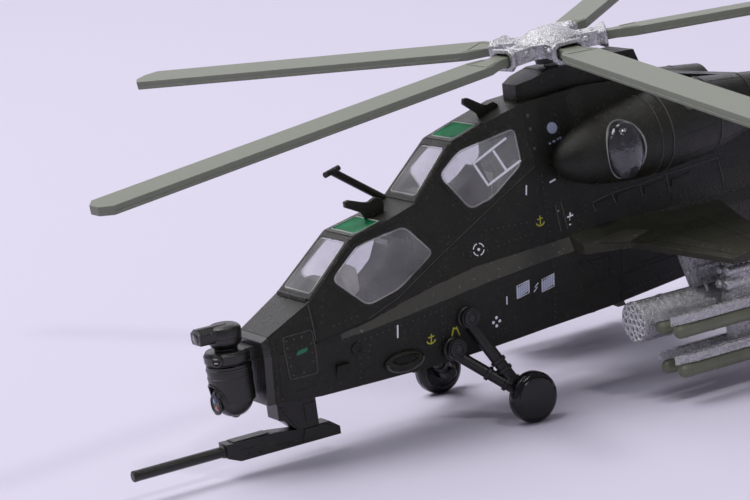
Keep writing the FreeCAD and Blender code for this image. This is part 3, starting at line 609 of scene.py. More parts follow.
def window_frame(outer, inner, surface, frame_shape, edge_shape):
    """A raised frame between two outlines, with a thin clear lip inside it."""
    rings = []
    for (u0, v0), (u1, v1) in zip(outer, inner):
        (a, na), (b, nb) = surface(u0, v0), surface(u1, v1)
        rings.append([a - na * 0.1, a + na * 0.12, b + nb * 0.16, b - nb * 0.1])
    frame_shape.rings(rings, closed=True)
    lip = grown(inner, -0.22)
    edge_shape.tube([p + n * 0.06 for p, n in (surface(u, v) for u, v in lip)], 0.13, 6, closed=True)


bars, lips = Shape(), Shape()
for outline in SIDE_WINDOWS:
    window_frame(rounded(grown(outline, 0.35), 0.3), rounded(grown(outline, -0.25), 1.3), flank, bars, lips)
bars.both_sides()
lips.both_sides()
for y0, x0, y1, x1 in ROOF_WINDOWS:
    quad = [(-x0, y0), (x0, y0), (x1, y1), (-x1, y1)]
    window_frame(rounded(grown(quad, 0.3), 0.2), rounded(grown(quad, -0.3), 0.8), above, bars, lips)
bars.save("window_frames", "airframe", "body_paint")
lips.save("window_lips", "airframe", "clear_panes", PALE_TRIM)

strips = Shape()
line(strips, [(-13.5, 44.8), (-20.1, 41.9), (-18.4, 38.0), (-11.8, 40.8)], 0.42, 0.14)
line(strips, [(-16.2, 43.3), (-14.7, 39.8)], 0.42, 0.14)
strips.save("window_strips", "airframe", "body_paint", MARK_WHITE)

# The near-black strips along the canopy's lower edge and its ends are painted shade in the gap.
seam, shadow_gap = Shape(), Shape()
line(seam, [(y, z + 0.28) for y, z in CANOPY_LOWER[1:]], 0.13, 0.07)
line(seam, [(-53.4, 20.2), (-53.5, 26.0)], 0.2, 0.1)
line(shadow_gap, CANOPY_LOWER[:5], 0.34, 0.03)
line(shadow_gap, CANOPY_LOWER[4:], 0.2, 0.03)
line(shadow_gap, [(-53.1, 19.9), (-53.1, 26.2)], 0.3, 0.03)
line(shadow_gap, [(-9.4, 39.4), (-9.6, 48.6)], 0.3, 0.03)
for z in (47.6, 45.4, 42.2):
    seam.stud(flank(-8.9, z), 0.3, 0.16)
save_pair(seam, "canopy_seams", RUB_AND_GLINT_EDGE)
save_pair(shadow_gap, "canopy_gap_shade", GROOVE_SHADE)

sill = Shape()
sill.prism([(-5.0, -53.7, 26.3), (5.0, -53.7, 26.3), (4.9, -53.4, 26.9), (-4.9, -53.4, 26.9)], (0, 0.35, 0.1))
sill.save("windscreen_sill", "airframe", "body_paint", bevel=0.12)

INSTRUMENT_SHROUD = [(-41.7, 25.5), (-37.4, 28.8), (-35.5, 32.7), (-31.6, 31.1), (-34.4, 24.0), (-35.6, 22.1),
                     (-41.1, 22.1)]
FRONT_HOOD = [(-45.5, 29.1), (-44.1, 30.2), (-42.2, 29.0), (-42.1, 25.3), (-44.1, 24.1)]
REAR_CUSHION = [(-22.1, 37.4), (-18.9, 39.1), (-16.9, 40.7), (-15.7, 37.5), (-15.5, 35.8), (-18.0, 33.5),
                (-19.8, 33.4)]
REAR_BACK = [(-14.2, 44.4), (-10.9, 44.6), (-7.6, 43.5), (-6.4, 41.9), (-7.1, 38.2), (-14.5, 35.7)]
for name, outline, half, material in (("instrument_shroud", INSTRUMENT_SHROUD, 2.6, DARK_COCKPIT),
                                      ("front_hood", FRONT_HOOD, 2.2, FINISHES["cockpit_plastic"]),
                                      ("rear_cushion", REAR_CUSHION, 2.4, DARK_COCKPIT),
                                      ("rear_seat_back", REAR_BACK, 2.3, SEAT_GREEN)):
    slab = Shape().plate(-half, rounded(outline, 0.5), 2 * half)
    slab.save(name, "airframe", "cockpit_plastic", material, bevel=0.35)

# ---------------------------------------------------------------- nose and hull sides
ACCESS = [(-58.5, 21.6), (-53.9, 21.9), (-53.7, 15.0), (-58.1, 14.8), (-58.7, 19.8)]
panel = Shape()
panel.patch(rounded(ACCESS, 0.5), 0.14, flank, 22, 12)
screws = Shape()
studs(screws, [(-58.2, 21.1), (-54.4, 21.4), (-54.2, 15.6), (-57.7, 15.4)], 1.5, 0.2, 0.24)
studs(screws, [(-58.2, 20.0), (-58.0, 17.0)], 1.6, 0.2, 0.24)
save_pair(screws, "access_panel_screws", RUB_AND_GLINT_EDGE)
for y in (-60.4, -59.7):
    line(panel, [(y, 11.6), (y - 0.1, 18.6)], 0.2, 0.1)
    line(panel, [(y - 0.1, 19.6), (y - 0.1, 21.4)], 0.2, 0.1)
save_pair(panel, "access_panel")
# The lighter rim round the access panel is a painted highlight on its raised edge.
rim_line = Shape()
line(rim_line, rounded(grown(ACCESS, 0.12), 0.5), 0.16, 0.1, closed=True, step=1.5)
save_pair(rim_line, "access_panel_rim", RUB_AND_GLINT_EDGE)
stripe = Shape().patch([(-56.9, 18.5), (-55.0, 18.9), (-55.0, 19.5), (-56.9, 19.1)], 0.18, flank, 3, 4)
save_pair(stripe, "green_flash", MARK_GREEN)

fittings = Shape()
fittings.patch([(-50.4, 12.8), (-48.2, 12.8), (-48.2, 15.4), (-50.4, 15.4)],
               lambda y, z: 0.12 + 0.75 * max(0.0, (z - 12.8) / 2.6) ** 1.5, flank, 8, 4)
boss_place, boss_normal = flank(-46.5, 17.3)
fittings.turned(boss_place, boss_normal,
                [(-0.1, 1.0), (0.2, 1.0), (0.3, 0.85), (0.3, 0.6), (0.1, 0.55), (0.1, 0.2)], 20)
BLISTER_Y, BLISTER_Z = -38.2, 13.2


def oval(length, height, start, sweep, count):
    """Points round the blister's middle, with its half axes and the angles in degrees."""
    angles = [math.radians(start + sweep * i / count) for i in range(count + 1)]
    return [(BLISTER_Y + length * math.cos(a), BLISTER_Z + height * math.sin(a)) for a in angles]


def blister(y, z):
    """Height of the oval blister, with a sunk pocket in its upper half."""
    bulge = max(0.0, 1 - ((y - BLISTER_Y) / 3.8) ** 2 - ((z - BLISTER_Z) / 1.85) ** 2) ** 0.5
    pocket = max(0.0, 1 - ((y + 38.0) / 2.7) ** 2 - ((z - 13.75) / 0.8) ** 2)
    return 0.05 + 1.25 * bulge - 0.75 * min(1.0, 2.5 * pocket)


fittings.patch(oval(3.7, 1.75, 0, 360, 24)[:-1], blister, flank, 28, 32)
save_pair(fittings, "hull_fittings", bevel=0.05)
# The lighter line on the blister's lower rim is a painted highlight on its raised edge.
blister_rim = Shape()
blister_hits = []
for y, z in oval(3.3, 1.55, 172, 196, 16):
    place, normal = flank(y, z)
    blister_hits.append((place + normal * 0.68, normal))
save_pair(blister_rim.ribbon(blister_hits, 0.4, 0.12), "blister_rim", RUB_AND_GLINT_EDGE)
# Near-black patches in the blister's pocket and the fitting's slot: painted shade in the recesses.
recess = Shape()
recess.patch([(-39.9, 13.5), (-39.6, 14.0), (-38.0, 14.15), (-36.4, 14.0), (-36.1, 13.5), (-38.0, 13.35)],
             lambda y, z: blister(y, z) + 0.04, flank, 5, 10)
recess.patch([(-50.1, 15.25), (-48.5, 15.25), (-48.5, 15.6), (-50.1, 15.6)], 0.1, flank, 2, 3)
save_pair(recess, "fitting_recess_shade", GROOVE_SHADE)


def ledge_edges(y):
    """Lower and upper height of the ledge's sloped top at a station."""
    heights = [18.4 + 0.1 * i for i in range(110)]
    tilted = [z for z in heights if flank(y, z) and flank(y, z)[1].z > 0.22]
    return (min(tilted), max(tilted)) if tilted else None


# A lighter strip over the ledge's sloped top: painted highlight on the faces that catch the light.
ledge = Shape()
rows = []
for i in range(46):
    y = -50.0 + i
    edges = ledge_edges(y)
    if edges and edges[1] < 29.5 and edges[1] - edges[0] > 0.3:
        low_hit, high_hit = flank(y, edges[0] + 0.02), flank(y, edges[1] - 0.02)
        rows.append([low_hit[0] - low_hit[1] * 0.1, low_hit[0] + low_hit[1] * 0.05,
                     high_hit[0] + high_hit[1] * 0.05, high_hit[0] - high_hit[1] * 0.1])
save_pair(ledge.rings(rows), "ledge_top_highlights", LEDGE_PAINTED_HIGHLIGHT)

# Engraved panel lines are laid as near-black strips: painted shade in the grooves.
groove_shades = Shape()
PANEL_LINES = ((-46.8, 11.4, -46.6, 19.2), (-31.2, 11.2, -31.4, 21), (-9.4, 12.6, -9.6, 23.4), (4.5, 13.6, 4.4, 22.4),
               (18, 15, 18, 24), (30, 17.2, 30, 24.4), (44, 20, 44, 24), (-58, 12.4, -53.4, 13),
               (-46.6, 13.4, -31.4, 14), (-9.6, 17, 18, 18.8, 44, 22.4), (-4, 21.6, 2, 21.8, 2, 18.2, -4, 17.8),
               (8, 22, 14, 22.4, 14, 19.4, 8, 18.9), (-24, 26.6, -24.6, 29.6, -19, 33.2), (-9, 27.4, -9.2, 38.8),
               (-9.2, 31.6, -2, 32.4), (-4.6, 38, -4.8, 48.6), (16, 28, 16.4, 34.4), (27, 27.4, 27.2, 33.6),
               (38, 27, 38.2, 44), (47.5, 26.4, 47.6, 41), (27.2, 31.2, 47.4, 31.4), (47.5, 34, 57.6, 33.2),
               (57.9, 22.2, 57.9, 38), (70, 23, 70, 36.4), (84, 24, 84, 34.6), (70, 30.8, 84, 30),
               (88, 25.8, 100, 26.6), (39, 27.2, 56, 26.6, 84, 27.2, 102, 28.2))
for path in PANEL_LINES:
    line(groove_shades, points(path), 0.13, 0.015, step=1.2)
for path in ((97.6, 33, 103, 46), (103, 46, 111.4, 46), (100, 38.6, 111, 38.4), (108.6, 32, 109.4, 52.6),
             (104.6, 50.6, 112, 50.6)):
    line(groove_shades, points(path), 0.13, 0.015, surface=fin_side, step=2)
save_pair(groove_shades, "panel_line_shade", GROOVE_SHADE)

ribs = Shape()
for path in ((-6.9, 32.4, -6.4, 27.8), (-5.7, 32.6, -5.1, 27.9), (0.3, 30.9, 0.7, 29.6), (4.3, 31.8, 4.8, 30.2),
             (10, 32, 10.3, 30.2), (15.4, 32.6, 15.8, 29.6), (26.8, 33, 27.4, 29)):
    line(ribs, points(path), 0.2, 0.09, step=0.9)
plates = Shape()
for y, z, length in ((-4.4, 28.6, 3.2), (0.9, 29.8, 3.0), (5.2, 30.4, 4.2), (10.8, 30.5, 4.2), (16.4, 30.6, 4.6)):
    plates.patch([(y, z), (y + length, z + 0.15), (y + length, z + 1.5), (y, z + 1.35)], 0.15, flank, 4, 6)
save_pair(plates, "fairing_plates", bevel=0.05)
line(ribs, [(0.2, 31.2), (4.4, 32.0), (10.1, 32.2), (15.5, 32.8), (27.0, 33.2)], 0.12, 0.06)
save_pair(ribs, "fairing_ribs", RUB_AND_GLINT_EDGE)

# Rivet heads take the lighter edge colour: a painted highlight for their small glints.
rivets = Shape()
for path in ((-46, 18.4, -31.8, 20), (-46.1, 12.2, -46, 17.9), (-44.6, 15.2, -43.9, 18.4), (-30.6, 12, -30.8, 20.2),
             (-9, 13.6, -9.1, 22.6), (-23.8, 27.4, -12, 28.6), (-20.4, 31, -12.6, 30.6), (-8.6, 28.2, -8.6, 37.6),
             (-42.4, 20.4, -33.6, 21.6), (-28.8, 26.8, -27.2, 31.4), (5, 14.6, 17.2, 16), (16.8, 28.6, 26.6, 28.4),
             (28, 28, 37.4, 27.8), (38.8, 30, 39, 42.6), (58.6, 24, 58.6, 36.6), (71, 24.6, 71, 35.4),
             (85, 25.4, 85, 33.6), (60, 35, 84, 32.8), (-3.6, 40.6, -3.8, 47.8), (-52, 22.8, -50.4, 27.4),
             (-50, 21.8, -45.6, 22.4)):
    studs(rivets, points(path), 1.1, 0.11, 0.05)
for path in ((98.6, 34.2, 103.6, 45.2), (104.6, 47.2, 111.2, 47.2), (101.2, 39.6, 108, 39.4)):
    studs(rivets, points(path), 1.2, 0.12, 0.05, fin_side)
save_pair(rivets, "rivets", RUB_AND_GLINT_EDGE)

# ---------------------------------------------------------------- painted marks, all generic
white, blue, yellow = Shape(), Shape(), Shape()
for *ends, width in ((-39, 19.5, -39.1, 17.3, 0.34), (-18.4, 19.5, -18.4, 18.1, 0.26), (-11.7, 36.7, -12, 35.1, 0.3),
                     (-7.3, 36.2, -6.1, 36.5, 0.34), (-6.5, 31.2, -5.3, 31.5, 0.3), (-4.9, 29.8, -3.7, 30, 0.32),
                     (-4.2, 30.5, -4.4, 29.2, 0.32), (-4.7, 28.5, -4.3, 28.6, 0.3), (-4, 28.7, -3.7, 28.8, 0.3)):
    line(white, points(ends), width, 0.03)
line(white, [(-12.2, 20.4), (-12.9, 19.8), (-12.4, 19.7), (-13.1, 19.0)], 0.2, 0.03)
for i in range(4):
    line(white, circle(-22.2, 28.2, 1.0, 5, 12 + 90 * i, 66), 0.2, 0.03)
    white.stud(flank(-20.5 + 0.62 * math.cos(math.tau * i / 4), 15.6 + 0.72 * math.sin(math.tau * i / 4)), 0.28, 0.03)
white.stud(flank(-22.2, 28.2), 0.26, 0.03)
for u, width in ((-5.9, 0.34), (-5.1, 0.5), (-4.3, 0.3), (-3.8, 0.36)):
    line(blue, [(u - width / 2, 42.6 + (u + 5) * 0.25), (u + width / 2, 42.7 + (u + 5) * 0.25)], 0.36, 0.03)
for y in (-15.2, -10.3):
    square = [(y - 1.2, 18.6), (y + 1.2, 19.1), (y + 1.2, 21.3), (y - 1.2, 20.8)]
    blue.patch(square, 0.03, flank, 3, 3)
    line(white, square, 0.12, 0.045, closed=True)
    for i in range(7):
        u = y - 1.05 + 0.35 * i
        line(white, [(u, 18.75 + 0.2 * (u - y + 1.2)), (u, 20.85 + 0.2 * (u - y + 1.2))], 0.06, 0.04, step=3)
blue.stud(flank(-4.9, 44.8), 0.95, 0.03, 24)
for y, z in ((-10.1, 30.2), (-33.0, 15.5)):
    line(yellow, circle(y, z + 0.2, 0.85, 8, 200, 140), 0.26, 0.03)
    line(yellow, [(y, z - 0.6), (y + 0.1, z + 1.0)], 0.24, 0.03)
    line(yellow, [(y - 0.5, z + 0.45), (y + 0.6, z + 0.55)], 0.24, 0.03)
for path in ((-29.1, 15, -28.7, 16.6), (-27.6, 15, -28.2, 16.6), (-28.9, 16.3, -28, 16.4)):
    line(yellow, points(path), 0.28, 0.03)
save_pair(white, "marks_white", MARK_WHITE)
save_pair(blue, "marks_blue", MARK_BLUE)
save_pair(yellow, "marks_yellow", MARK_YELLOW)

# ---------------------------------------------------------------- engines, mast fairing and deck
# The deck and engine panel lines are near-black strips: painted shade in the grooves.
engine, insert_rim, deck_line_shade = Shape(), Shape(), Shape()
for y, radius in ((12.0, 0.12), (9.8, 0.06), (22.0, 0.09), (30.0, 0.08)):
    hits = [around(y, a) for a in range(-84, 97, 6)]
    engine.tube([p + n * 0.02 for p, n in (h for h in hits if h and h[0].x > 7.6)], radius, 6)
ring_hit = around(16.4, 34)
engine.turned(ring_hit[0], ring_hit[1], [(-0.1, 0.95), (0.22, 0.9), (0.22, 0.55), (-0.05, 0.5)], 16)
for angle in (-40, -5, 30, 65):
    path = [around(y, angle) for y in range(13, 30, 2)]
    deck_line_shade.ribbon([h for h in path if h and h[0].x > 7.6], 0.12, 0.015)
save_pair(engine, "engine_seams", RUB_AND_GLINT_EDGE)
rim_path = []
HOUSING = tree_of("engine_housing_left")
for i in range(36):
    a = math.tau * i / 36
    hit = flank(3.2 + 3.3 * math.cos(a), 40.2 + 4.75 * math.sin(a), HOUSING)
    rim_path.append(hit[0] + hit[1] * 0.05)
insert_rim.tube(rim_path, 0.17, 6, closed=True)
save_pair(insert_rim, "insert_rims", PALE_TRIM, slot="clear_panes")
for path in ((-3, 6, 3, 6), (-3, 9, 3, 9), (-3, 12, 3, 12), (-3.4, -3, 3.4, -3), (-4.6, 19, 4.6, 19),
             (-4.4, 28, 4.4, 28), (-4, 38, 4, 38), (0, 19, 0, 57), (-3.2, 48, 3.2, 48), (-1.8, 70, 1.8, 70),
             (-1.6, 84, 1.6, 84)):
    line(deck_line_shade, points(path), 0.16, 0.02, surface=deck_top)
deck_line_shade.save("deck_line_shade", "airframe", "body_paint", GROOVE_SHADE)
louvres = Shape()
for i in range(7):
    for side in (-1, 1):
        place = Vector((side * 3.62, 6.6 + 1.0 * i, 52.2))
        louvres.prism([place + Vector((0, y, z)) for y, z in ((0, -1.1), (0.28, -1.1), (0.28, 1.1), (0, 1.1))],
                      (side * 0.2, 0.3, 0))
louvres.save("cooler_louvres", "airframe", "body_paint", bevel=0.04)

# ---------------------------------------------------------------- rotor head
HUB_HEIGHT = 57.3
MAST_TILT = math.radians(4.0)
FIRST_BLADE = -155.2         # degrees from port
NECK_START = 7.4
BLADE_DROOP = math.radians(1.1)
BLADE_PITCH = math.radians(3.5)
BLADE_EDGE = 3.15            # just inside the half chord
TO_HUB = Matrix.Translation((0, 0, HUB_HEIGHT)) @ Matrix.Rotation(MAST_TILT, 4, "X")
cuffs, bolts, ridges = Shape(), Shape(), Shape()
for k in range(5):
    turn = TO_HUB @ Matrix.Rotation(math.radians(FIRST_BLADE + 72 * k), 4, "Z")
    sections = [(3.6, 2.5, 1.15), (5.2, 2.3, 1.2), (6.6, 1.9, 1.05), (7.9, 2.0, 1.15), (8.8, 2.6, 1.6), (9.5, 3.0, 1.9),
                (9.9, 2.9, 1.8), (9.9, 2.2, 1.2), (9.3, 1.9, 1.0)]
    cuff = Shape().rings([[Vector((r, s * w, t * h)) for s, t in
                           ((-1, -0.6), (-0.7, -1), (0.7, -1), (1, -0.6), (1, 0.6), (0.7, 1), (-0.7, 1), (-1, 0.6))]
                          for r, w, h in sections], capped=False)
    cuffs.join(cuff.moved(turn))
    pins = Shape()
    for r, s, top in ((5.6, 0.9, 1.15), (5.6, -0.9, 1.15), (7.6, 0.0, 1.1)):
        pins.turned((r, s, top - 0.2), UP, [(0, 0.5), (0.35, 0.5), (0.45, 0.35)], 6)
    pins.turned((6.4, -2.6, 0.2), AFT, [(0, 0.45), (0.15, 0.55), (5.05, 0.55), (5.2, 0.45)], 10)
    bolts.join(pins.moved(turn))
    droop = Matrix.Translation((NECK_START, 0, 0)) @ Matrix.Rotation(BLADE_DROOP, 4, "Y")
    droop = droop @ Matrix.Translation((-NECK_START, 0, 0)) @ Matrix.Rotation(-BLADE_PITCH, 4, "X")
    ridge = Shape()
    for s in (-1, 1):
        edge = [(16.0, -0.50), (88.0, -0.50), (88.2, -0.18), (15.6, -0.18)]
        ridge.prism([(r, s * BLADE_EDGE, z) for r, z in edge], (0, s * 0.17, 0))
        ridge.prism([(12.2, s * 2.0, 0.70), (15.6, s * 2.9, 0.70), (15.2, s * 2.9, 0.84), (12.4, s * 2.0, 0.84)],
                    (0, s * -0.6, 0))
    ridge.block((14.8, -2.2, 0.6), (15.2, 2.2, 0.84))
    ridges.join(ridge.moved(turn @ droop))
cuffs.save("blade_cuffs", "main_rotor", "silver_paint", bevel=0.14, smooth=30)
bolts.save("cuff_bolts", "main_rotor", "silver_paint", bevel=0.05)
ridges.save("blade_ridges", "main_rotor", "blade_paint", bevel=0.04)
COLLAR = [(0, 2.3), (0, 2.5), (0.4, 2.52), (0.5, 2.62), (0.8, 2.62), (0.9, 2.5), (1.3, 2.5), (1.4, 2.3)]
collar = Shape().turned((0, 0, -2.62), (0, 0, 1), COLLAR, 28)
collar.moved(TO_HUB).save("shaft_sleeve", "main_rotor", "gear_black")
rim = Shape()
for i in range(36):
    a = math.tau * i / 36
    rim.turned((4.75 * math.cos(a), 4.75 * math.sin(a), 1.1), UP, [(0, 0.3), (0.28, 0.28), (0.42, 0.16)], 6)
rim.tube([(5.05 * math.cos(math.tau * i / 48), 5.05 * math.sin(math.tau * i / 48), 1.15) for i in range(48)], 0.28, 8,
         closed=True)
rim.moved(TO_HUB).save("dome_rim", "main_rotor", "silver_paint")

# ---------------------------------------------------------------- sensor turret and gun
AXIS_Y = -66.1
BALL_Z = 13.2
ARCH_RADIUS = 2.6
GUN_Z = 4.7
BALL = Vector((0, AXIS_Y, BALL_Z))
head = Shape()
head.turned((0, AXIS_Y, 20.8), UP,
            [(0, 1.9), (0.5, 1.9), (0.8, 2.3), (1.5, 2.75), (3.4, 2.85), (3.9, 2.6), (4.2, 2.0)], 32)
HEAD_FRONT = [(-1.5, 22.6), (1.5, 22.6), (1.8, 23.2), (1.8, 24.4), (0.5, 25.2), (-0.5, 25.2), (-1.8, 24.4),
              (-1.8, 23.2)]
head.prism([(x, AXIS_Y - 5.0, z) for x, z in HEAD_FRONT], (0, 5.6, -0.1))
for z in (23.0, 24.2):
    head.turned((0, AXIS_Y, z), UP, [(-0.12, 2.7), (0, 2.95), (0.12, 2.7)], 32)
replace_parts(head.save("sensor_head", "airframe", "sensor_black", bevel=0.18, smooth=30), "upper_sensor")
lens = Shape().turned((0, -71.25, 23.7), AFT, [(0, 0.7), (0.1, 0.85), (0.25, 0.85)], 20)
lens.save("sensor_head_lens", "airframe", "sensor_black", GLASS_GREY)
band = Shape()
band.turned((0, AXIS_Y, 18.75), UP, [(0, 3.3), (0.35, 3.75), (1.5, 3.8), (1.9, 3.5), (2.1, 3.2)], 40)
out = Vector((0.62, -0.78, 0))
band.turned(Vector((0, AXIS_Y, 19.9)) + out * 3.4, out,
            [(0, 1.05), (0.55, 1.05), (0.7, 0.85), (0.7, 0.6), (0.5, 0.55), (0.5, 0.1)], 18)
band.block((2.0, -63.4, 19.0), (2.75, -60.6, 20.7))
band.block((-2.75, -63.4, 19.0), (-2.0, -60.6, 20.7))
band.save("bracket_band", "airframe", "sensor_black", bevel=0.1, smooth=30)
# Two small steel bars across the bracket's boss: painted glints.
glint = Shape()
across, rise = Vector((0.78, 0.62, 0)) * 0.7, Vector((0, 0, 0.22))
for lift in (-0.35, 0.35):
    start = Vector((0, AXIS_Y, 19.9 + lift)) + out * 4.08 - across * 0.5
    glint.prism([start, start + across, start + across + rise, start + rise], out * 0.12)
glint.save("boss_glints", "airframe", "steel")
cup = Shape()
cup.turned((0, AXIS_Y, 17.6), UP, [(0, 3.55), (0.12, 3.72), (0.5, 3.72), (0.62, 3.55)], 40)
cup.turned((0, AXIS_Y, 16.4), UP, [(0, 3.55), (0.1, 3.68), (0.3, 3.68), (0.4, 3.55)], 40)
arch = []
for i in range(17):
    a = math.pi * i / 16
    x, z = ARCH_RADIUS * math.cos(a), BALL_Z + ARCH_RADIUS * math.sin(a)
    arch.append(Vector((x, AXIS_Y - math.sqrt(max(0.0, 3.62 ** 2 - x * x)), z)))
cup.tube([Vector((arch[0].x, arch[0].y, 12.6))] + arch + [Vector((arch[-1].x, arch[-1].y, 12.6))], 0.16, 6)
cup.save("cup_trim", "sensor_turret", "sensor_black", smooth=30)
ball = Shape()
ball.turned(BALL, (0, 0, -1), [(3.2, 0.7), (3.42, 0.6), (3.55, 0.3)], 16)
view_out = Vector((0.30, -0.88, 0.36)).normalized()
ball.turned(BALL + view_out * 3.12, view_out,
            [(0, 0.95), (0.28, 0.9), (0.34, 0.7), (0.2, 0.6)], 20)
ball.turned((0, AXIS_Y - 3.0, BALL_Z - 0.7), (0, -1, 0), [(0, 1.75), (0.34, 1.7), (0.4, 1.5), (0.25, 1.4)], 24)
ball.save("ball_trim", "sensor_turret", "sensor_black", smooth=30)
LENS = [(0, 0.5), (0.1, 0.46), (0.16, 0.3)]
for name, place, way, profile, material in (
        ("ball_window", BALL + view_out * 3.2, view_out, [(0, 0.55), (0.12, 0.5), (0.2, 0.3)], GLASS_GREY),
        ("ball_lens_blue", (-0.1, AXIS_Y - 3.25, BALL_Z - 0.1), (0, -1, 0), LENS, LENS_BLUE),
        ("ball_lens_red", (0.35, AXIS_Y - 3.2, BALL_Z - 1.35), (0.1, -1, -0.3), LENS, LENS_RED)):
    Shape().turned(place, way, profile, 16).save(name, "sensor_turret", "sensor_black", material)

gun = Shape()
gun.turned((0, -69.7, GUN_Z), AFT, [(0, 0.9), (0.25, 1.1), (1.2, 1.15), (1.6, 1.0)], 20)
gun.turned((0, -85.3, GUN_Z), AFT, [(0, 0.75), (0.15, 0.93), (0.7, 0.93), (0.9, 0.8)], 20)
gun.block((-1.62, -66.6, 4.2), (1.62, -61.2, 4.6))
gun.block((-1.62, -60.2, 3.5), (1.62, -52.4, 3.8))
gun.block((-1.2, -67.8, 5.7), (1.2, -61.4, 6.15))
gun.plate(-1.7, [(-55.8, 3.1), (-51.2, 3.1), (-50.2, 4.4), (-51.4, 5.2), (-55.2, 5.2)], 3.4)
for y in (-65.4, -63.4, -58.6, -56.8):
    for side in (1, -1):
        gun.turned((side * 1.45, y, 3.4), (side, 0, 0), [(0, 0.3), (0.16, 0.3), (0.22, 0.18)], 10)
gun.save("gun_details", "gun_turret", "gun_black", bevel=0.07)
mount = Shape()
for side in (-1, 1):
    mount.plate(side * 1.95, [(-59.4, 9.8), (-58.9, 9.8), (-55.8, 5.6), (-56.5, 5.6)], side * 0.2)
    mount.block((side * 2.05 - 0.1, -55.0, 6.4), (side * 2.05 + 0.1, -53.2, 9.4))
mount.save("mount_details", "gun_turret", "gun_black", bevel=0.06)

# ---------------------------------------------------------------- wings and stores
POD_X, POD_Z = 20.0, 13.0
RACK_X = 26.9
MISSILE_SPREAD = 2.4         # from the rack's middle, port and starboard
MISSILE_ROWS = (12.2, 5.7)
RAIL_RISE = 2.05             # of the rail's middle above its missile's axis
# Wing panel lines as near-black strips: painted shade in the grooves.
wing = Shape()
for path in ((10.6, -1.4, 15, 6.4, 29.2, 12.6), (15, 6.4, 15, 24), (22, 9.6, 22, 22.8), (10.5, 18.6, 29.4, 18.2)):
    line(wing, points(path), 0.12, 0.015, surface=wing_top)
save_pair(wing, "wing_line_shade", GROOVE_SHADE)
wing_studs = Shape()
for path in ((14.2, 6.6, 28.8, 13), (14.2, 8, 14.4, 23.4), (22.6, 10.8, 22.6, 22.2), (11, 0.4, 13.4, 5.4),
             (11.2, 19.4, 29, 19)):
    studs(wing_studs, points(path), 1.2, 0.13, 0.06, wing_top)
save_pair(wing_studs, "wing_rivets", RUB_AND_GLINT_EDGE)

stores = Shape()
for y in (3.2, 15.6, 19.0):
    stores.turned((POD_X, y, POD_Z), AFT, [(0, 3.3), (0.1, 3.52), (0.5, 3.52), (0.6, 3.3)], 36)
stores.turned((POD_X, -2.5, POD_Z), AFT,
              [(0.25, 3.1), (0, 3.15), (-0.1, 3.3), (0, 3.45), (0.5, 3.5), (0.7, 3.38)], 36, capped=False)
mouths = Shape()
for count, radius in ((1, 0.0), (6, 1.25), (12, 2.5)):
    for i in range(count):
        a = math.tau * i / count
        place = (POD_X + radius * math.cos(a), -2.42, POD_Z + radius * math.sin(a))
        mouths.turned(place, AFT, [(0.3, 0.53), (0, 0.53), (-0.16, 0.57), (-0.16, 0.63), (0, 0.67)], 12,
                      capped=False)
save_pair(mouths, "pod_tube_mouths", slot="grille_silver")
for side in (-1, 1):
    x = POD_X + side * 0.85
    stores.plate(x, [(8.3, 22.2), (9.1, 22.2), (10.5, 16.4), (9.7, 16.4)], side * 0.35)
    stores.plate(x, [(16.6, 22.2), (15.8, 22.2), (14.2, 16.4), (15.0, 16.4)], side * 0.35)
    stores.plate(x, [(10.2, 19.0), (14.6, 19.0), (14.3, 19.6), (10.5, 19.6)], side * 0.3)
    for y in (11.0, 14.0):
        stores.tube([(POD_X, y, 17.6), (POD_X + side * 1.6, y, 17.0), (POD_X + side * 2.4, y, 15.6)], 0.3, 8)
save_pair(stores, "pod_details", bevel=0.04, slot="silver_paint")

rack = Shape()
for side in (-1, 1):
    x = RACK_X + side * 0.85
    rack.plate(x, [(13.2, 22.0), (13.8, 22.0), (16.6, 17.6), (16.2, 17.3)], side * 0.3)
    rack.plate(x, [(20.2, 22.0), (19.6, 22.0), (16.2, 17.6), (16.6, 17.3)], side * 0.3)
    rack.turned((x, 16.4, 20.2), (side, 0, 0), [(0, 0.95), (0.3, 0.9), (0.3, 0.6), (0.05, 0.55)], 16)
    rack.turned((RACK_X + side * 1.1, 11.0, 19.4), AFT, [(0, 0.5), (0.2, 0.7), (5.0, 0.7), (5.2, 0.5)], 12)
    rack.turned((RACK_X + side * 1.1, 10.6, 17.2), AFT, [(0, 0.6), (0.3, 0.85), (3.4, 0.85), (3.7, 0.6)], 12)
    for row in MISSILE_ROWS:
        z, xr = row + RAIL_RISE, RACK_X + side * MISSILE_SPREAD
        rack.block((xr - 0.78, 4.6, z - 0.55), (xr + 0.78, 5.2, z + 0.68))
        rack.block((xr - 0.3, 2.6, z + 0.55), (xr + 0.3, 22.4, z + 0.75))
        rack.block((xr - 0.82, 7.6, z - 0.2), (xr + 0.82, 22.6, z + 0.05))
save_pair(rack, "rack_details", bevel=0.06, slot="silver_paint")
rounds = Shape()
for side in (-1, 1):
    for z in MISSILE_ROWS:
        x = RACK_X + side * MISSILE_SPREAD
        for y in (0.9, 6.0, 13.0):
            rounds.turned((x, y, z), AFT, [(0, 1.12), (0.06, 1.2), (0.3, 1.2), (0.36, 1.12)], 24)
        for i in range(4):
            a = math.radians(45 + 90 * i)
            across = Vector((math.cos(a), 0, math.sin(a)))
            for y, chord, span in ((15.2, 2.0, 1.85), (20.6, 3.0, 2.1)):
                flat = across.cross(Vector((0, 1, 0))) * 0.1
                root, tip = Vector((x, y, z)) + across - flat, across * (span - 1.0)
                heel, sweep = Vector((0, chord, 0)), Vector((0, chord * 0.45, 0))
                rounds.prism([root, root + heel, root + heel + tip, root + sweep + tip], flat * 2)
save_pair(rounds, "missile_details", bevel=0.03, slot="missile_olive")

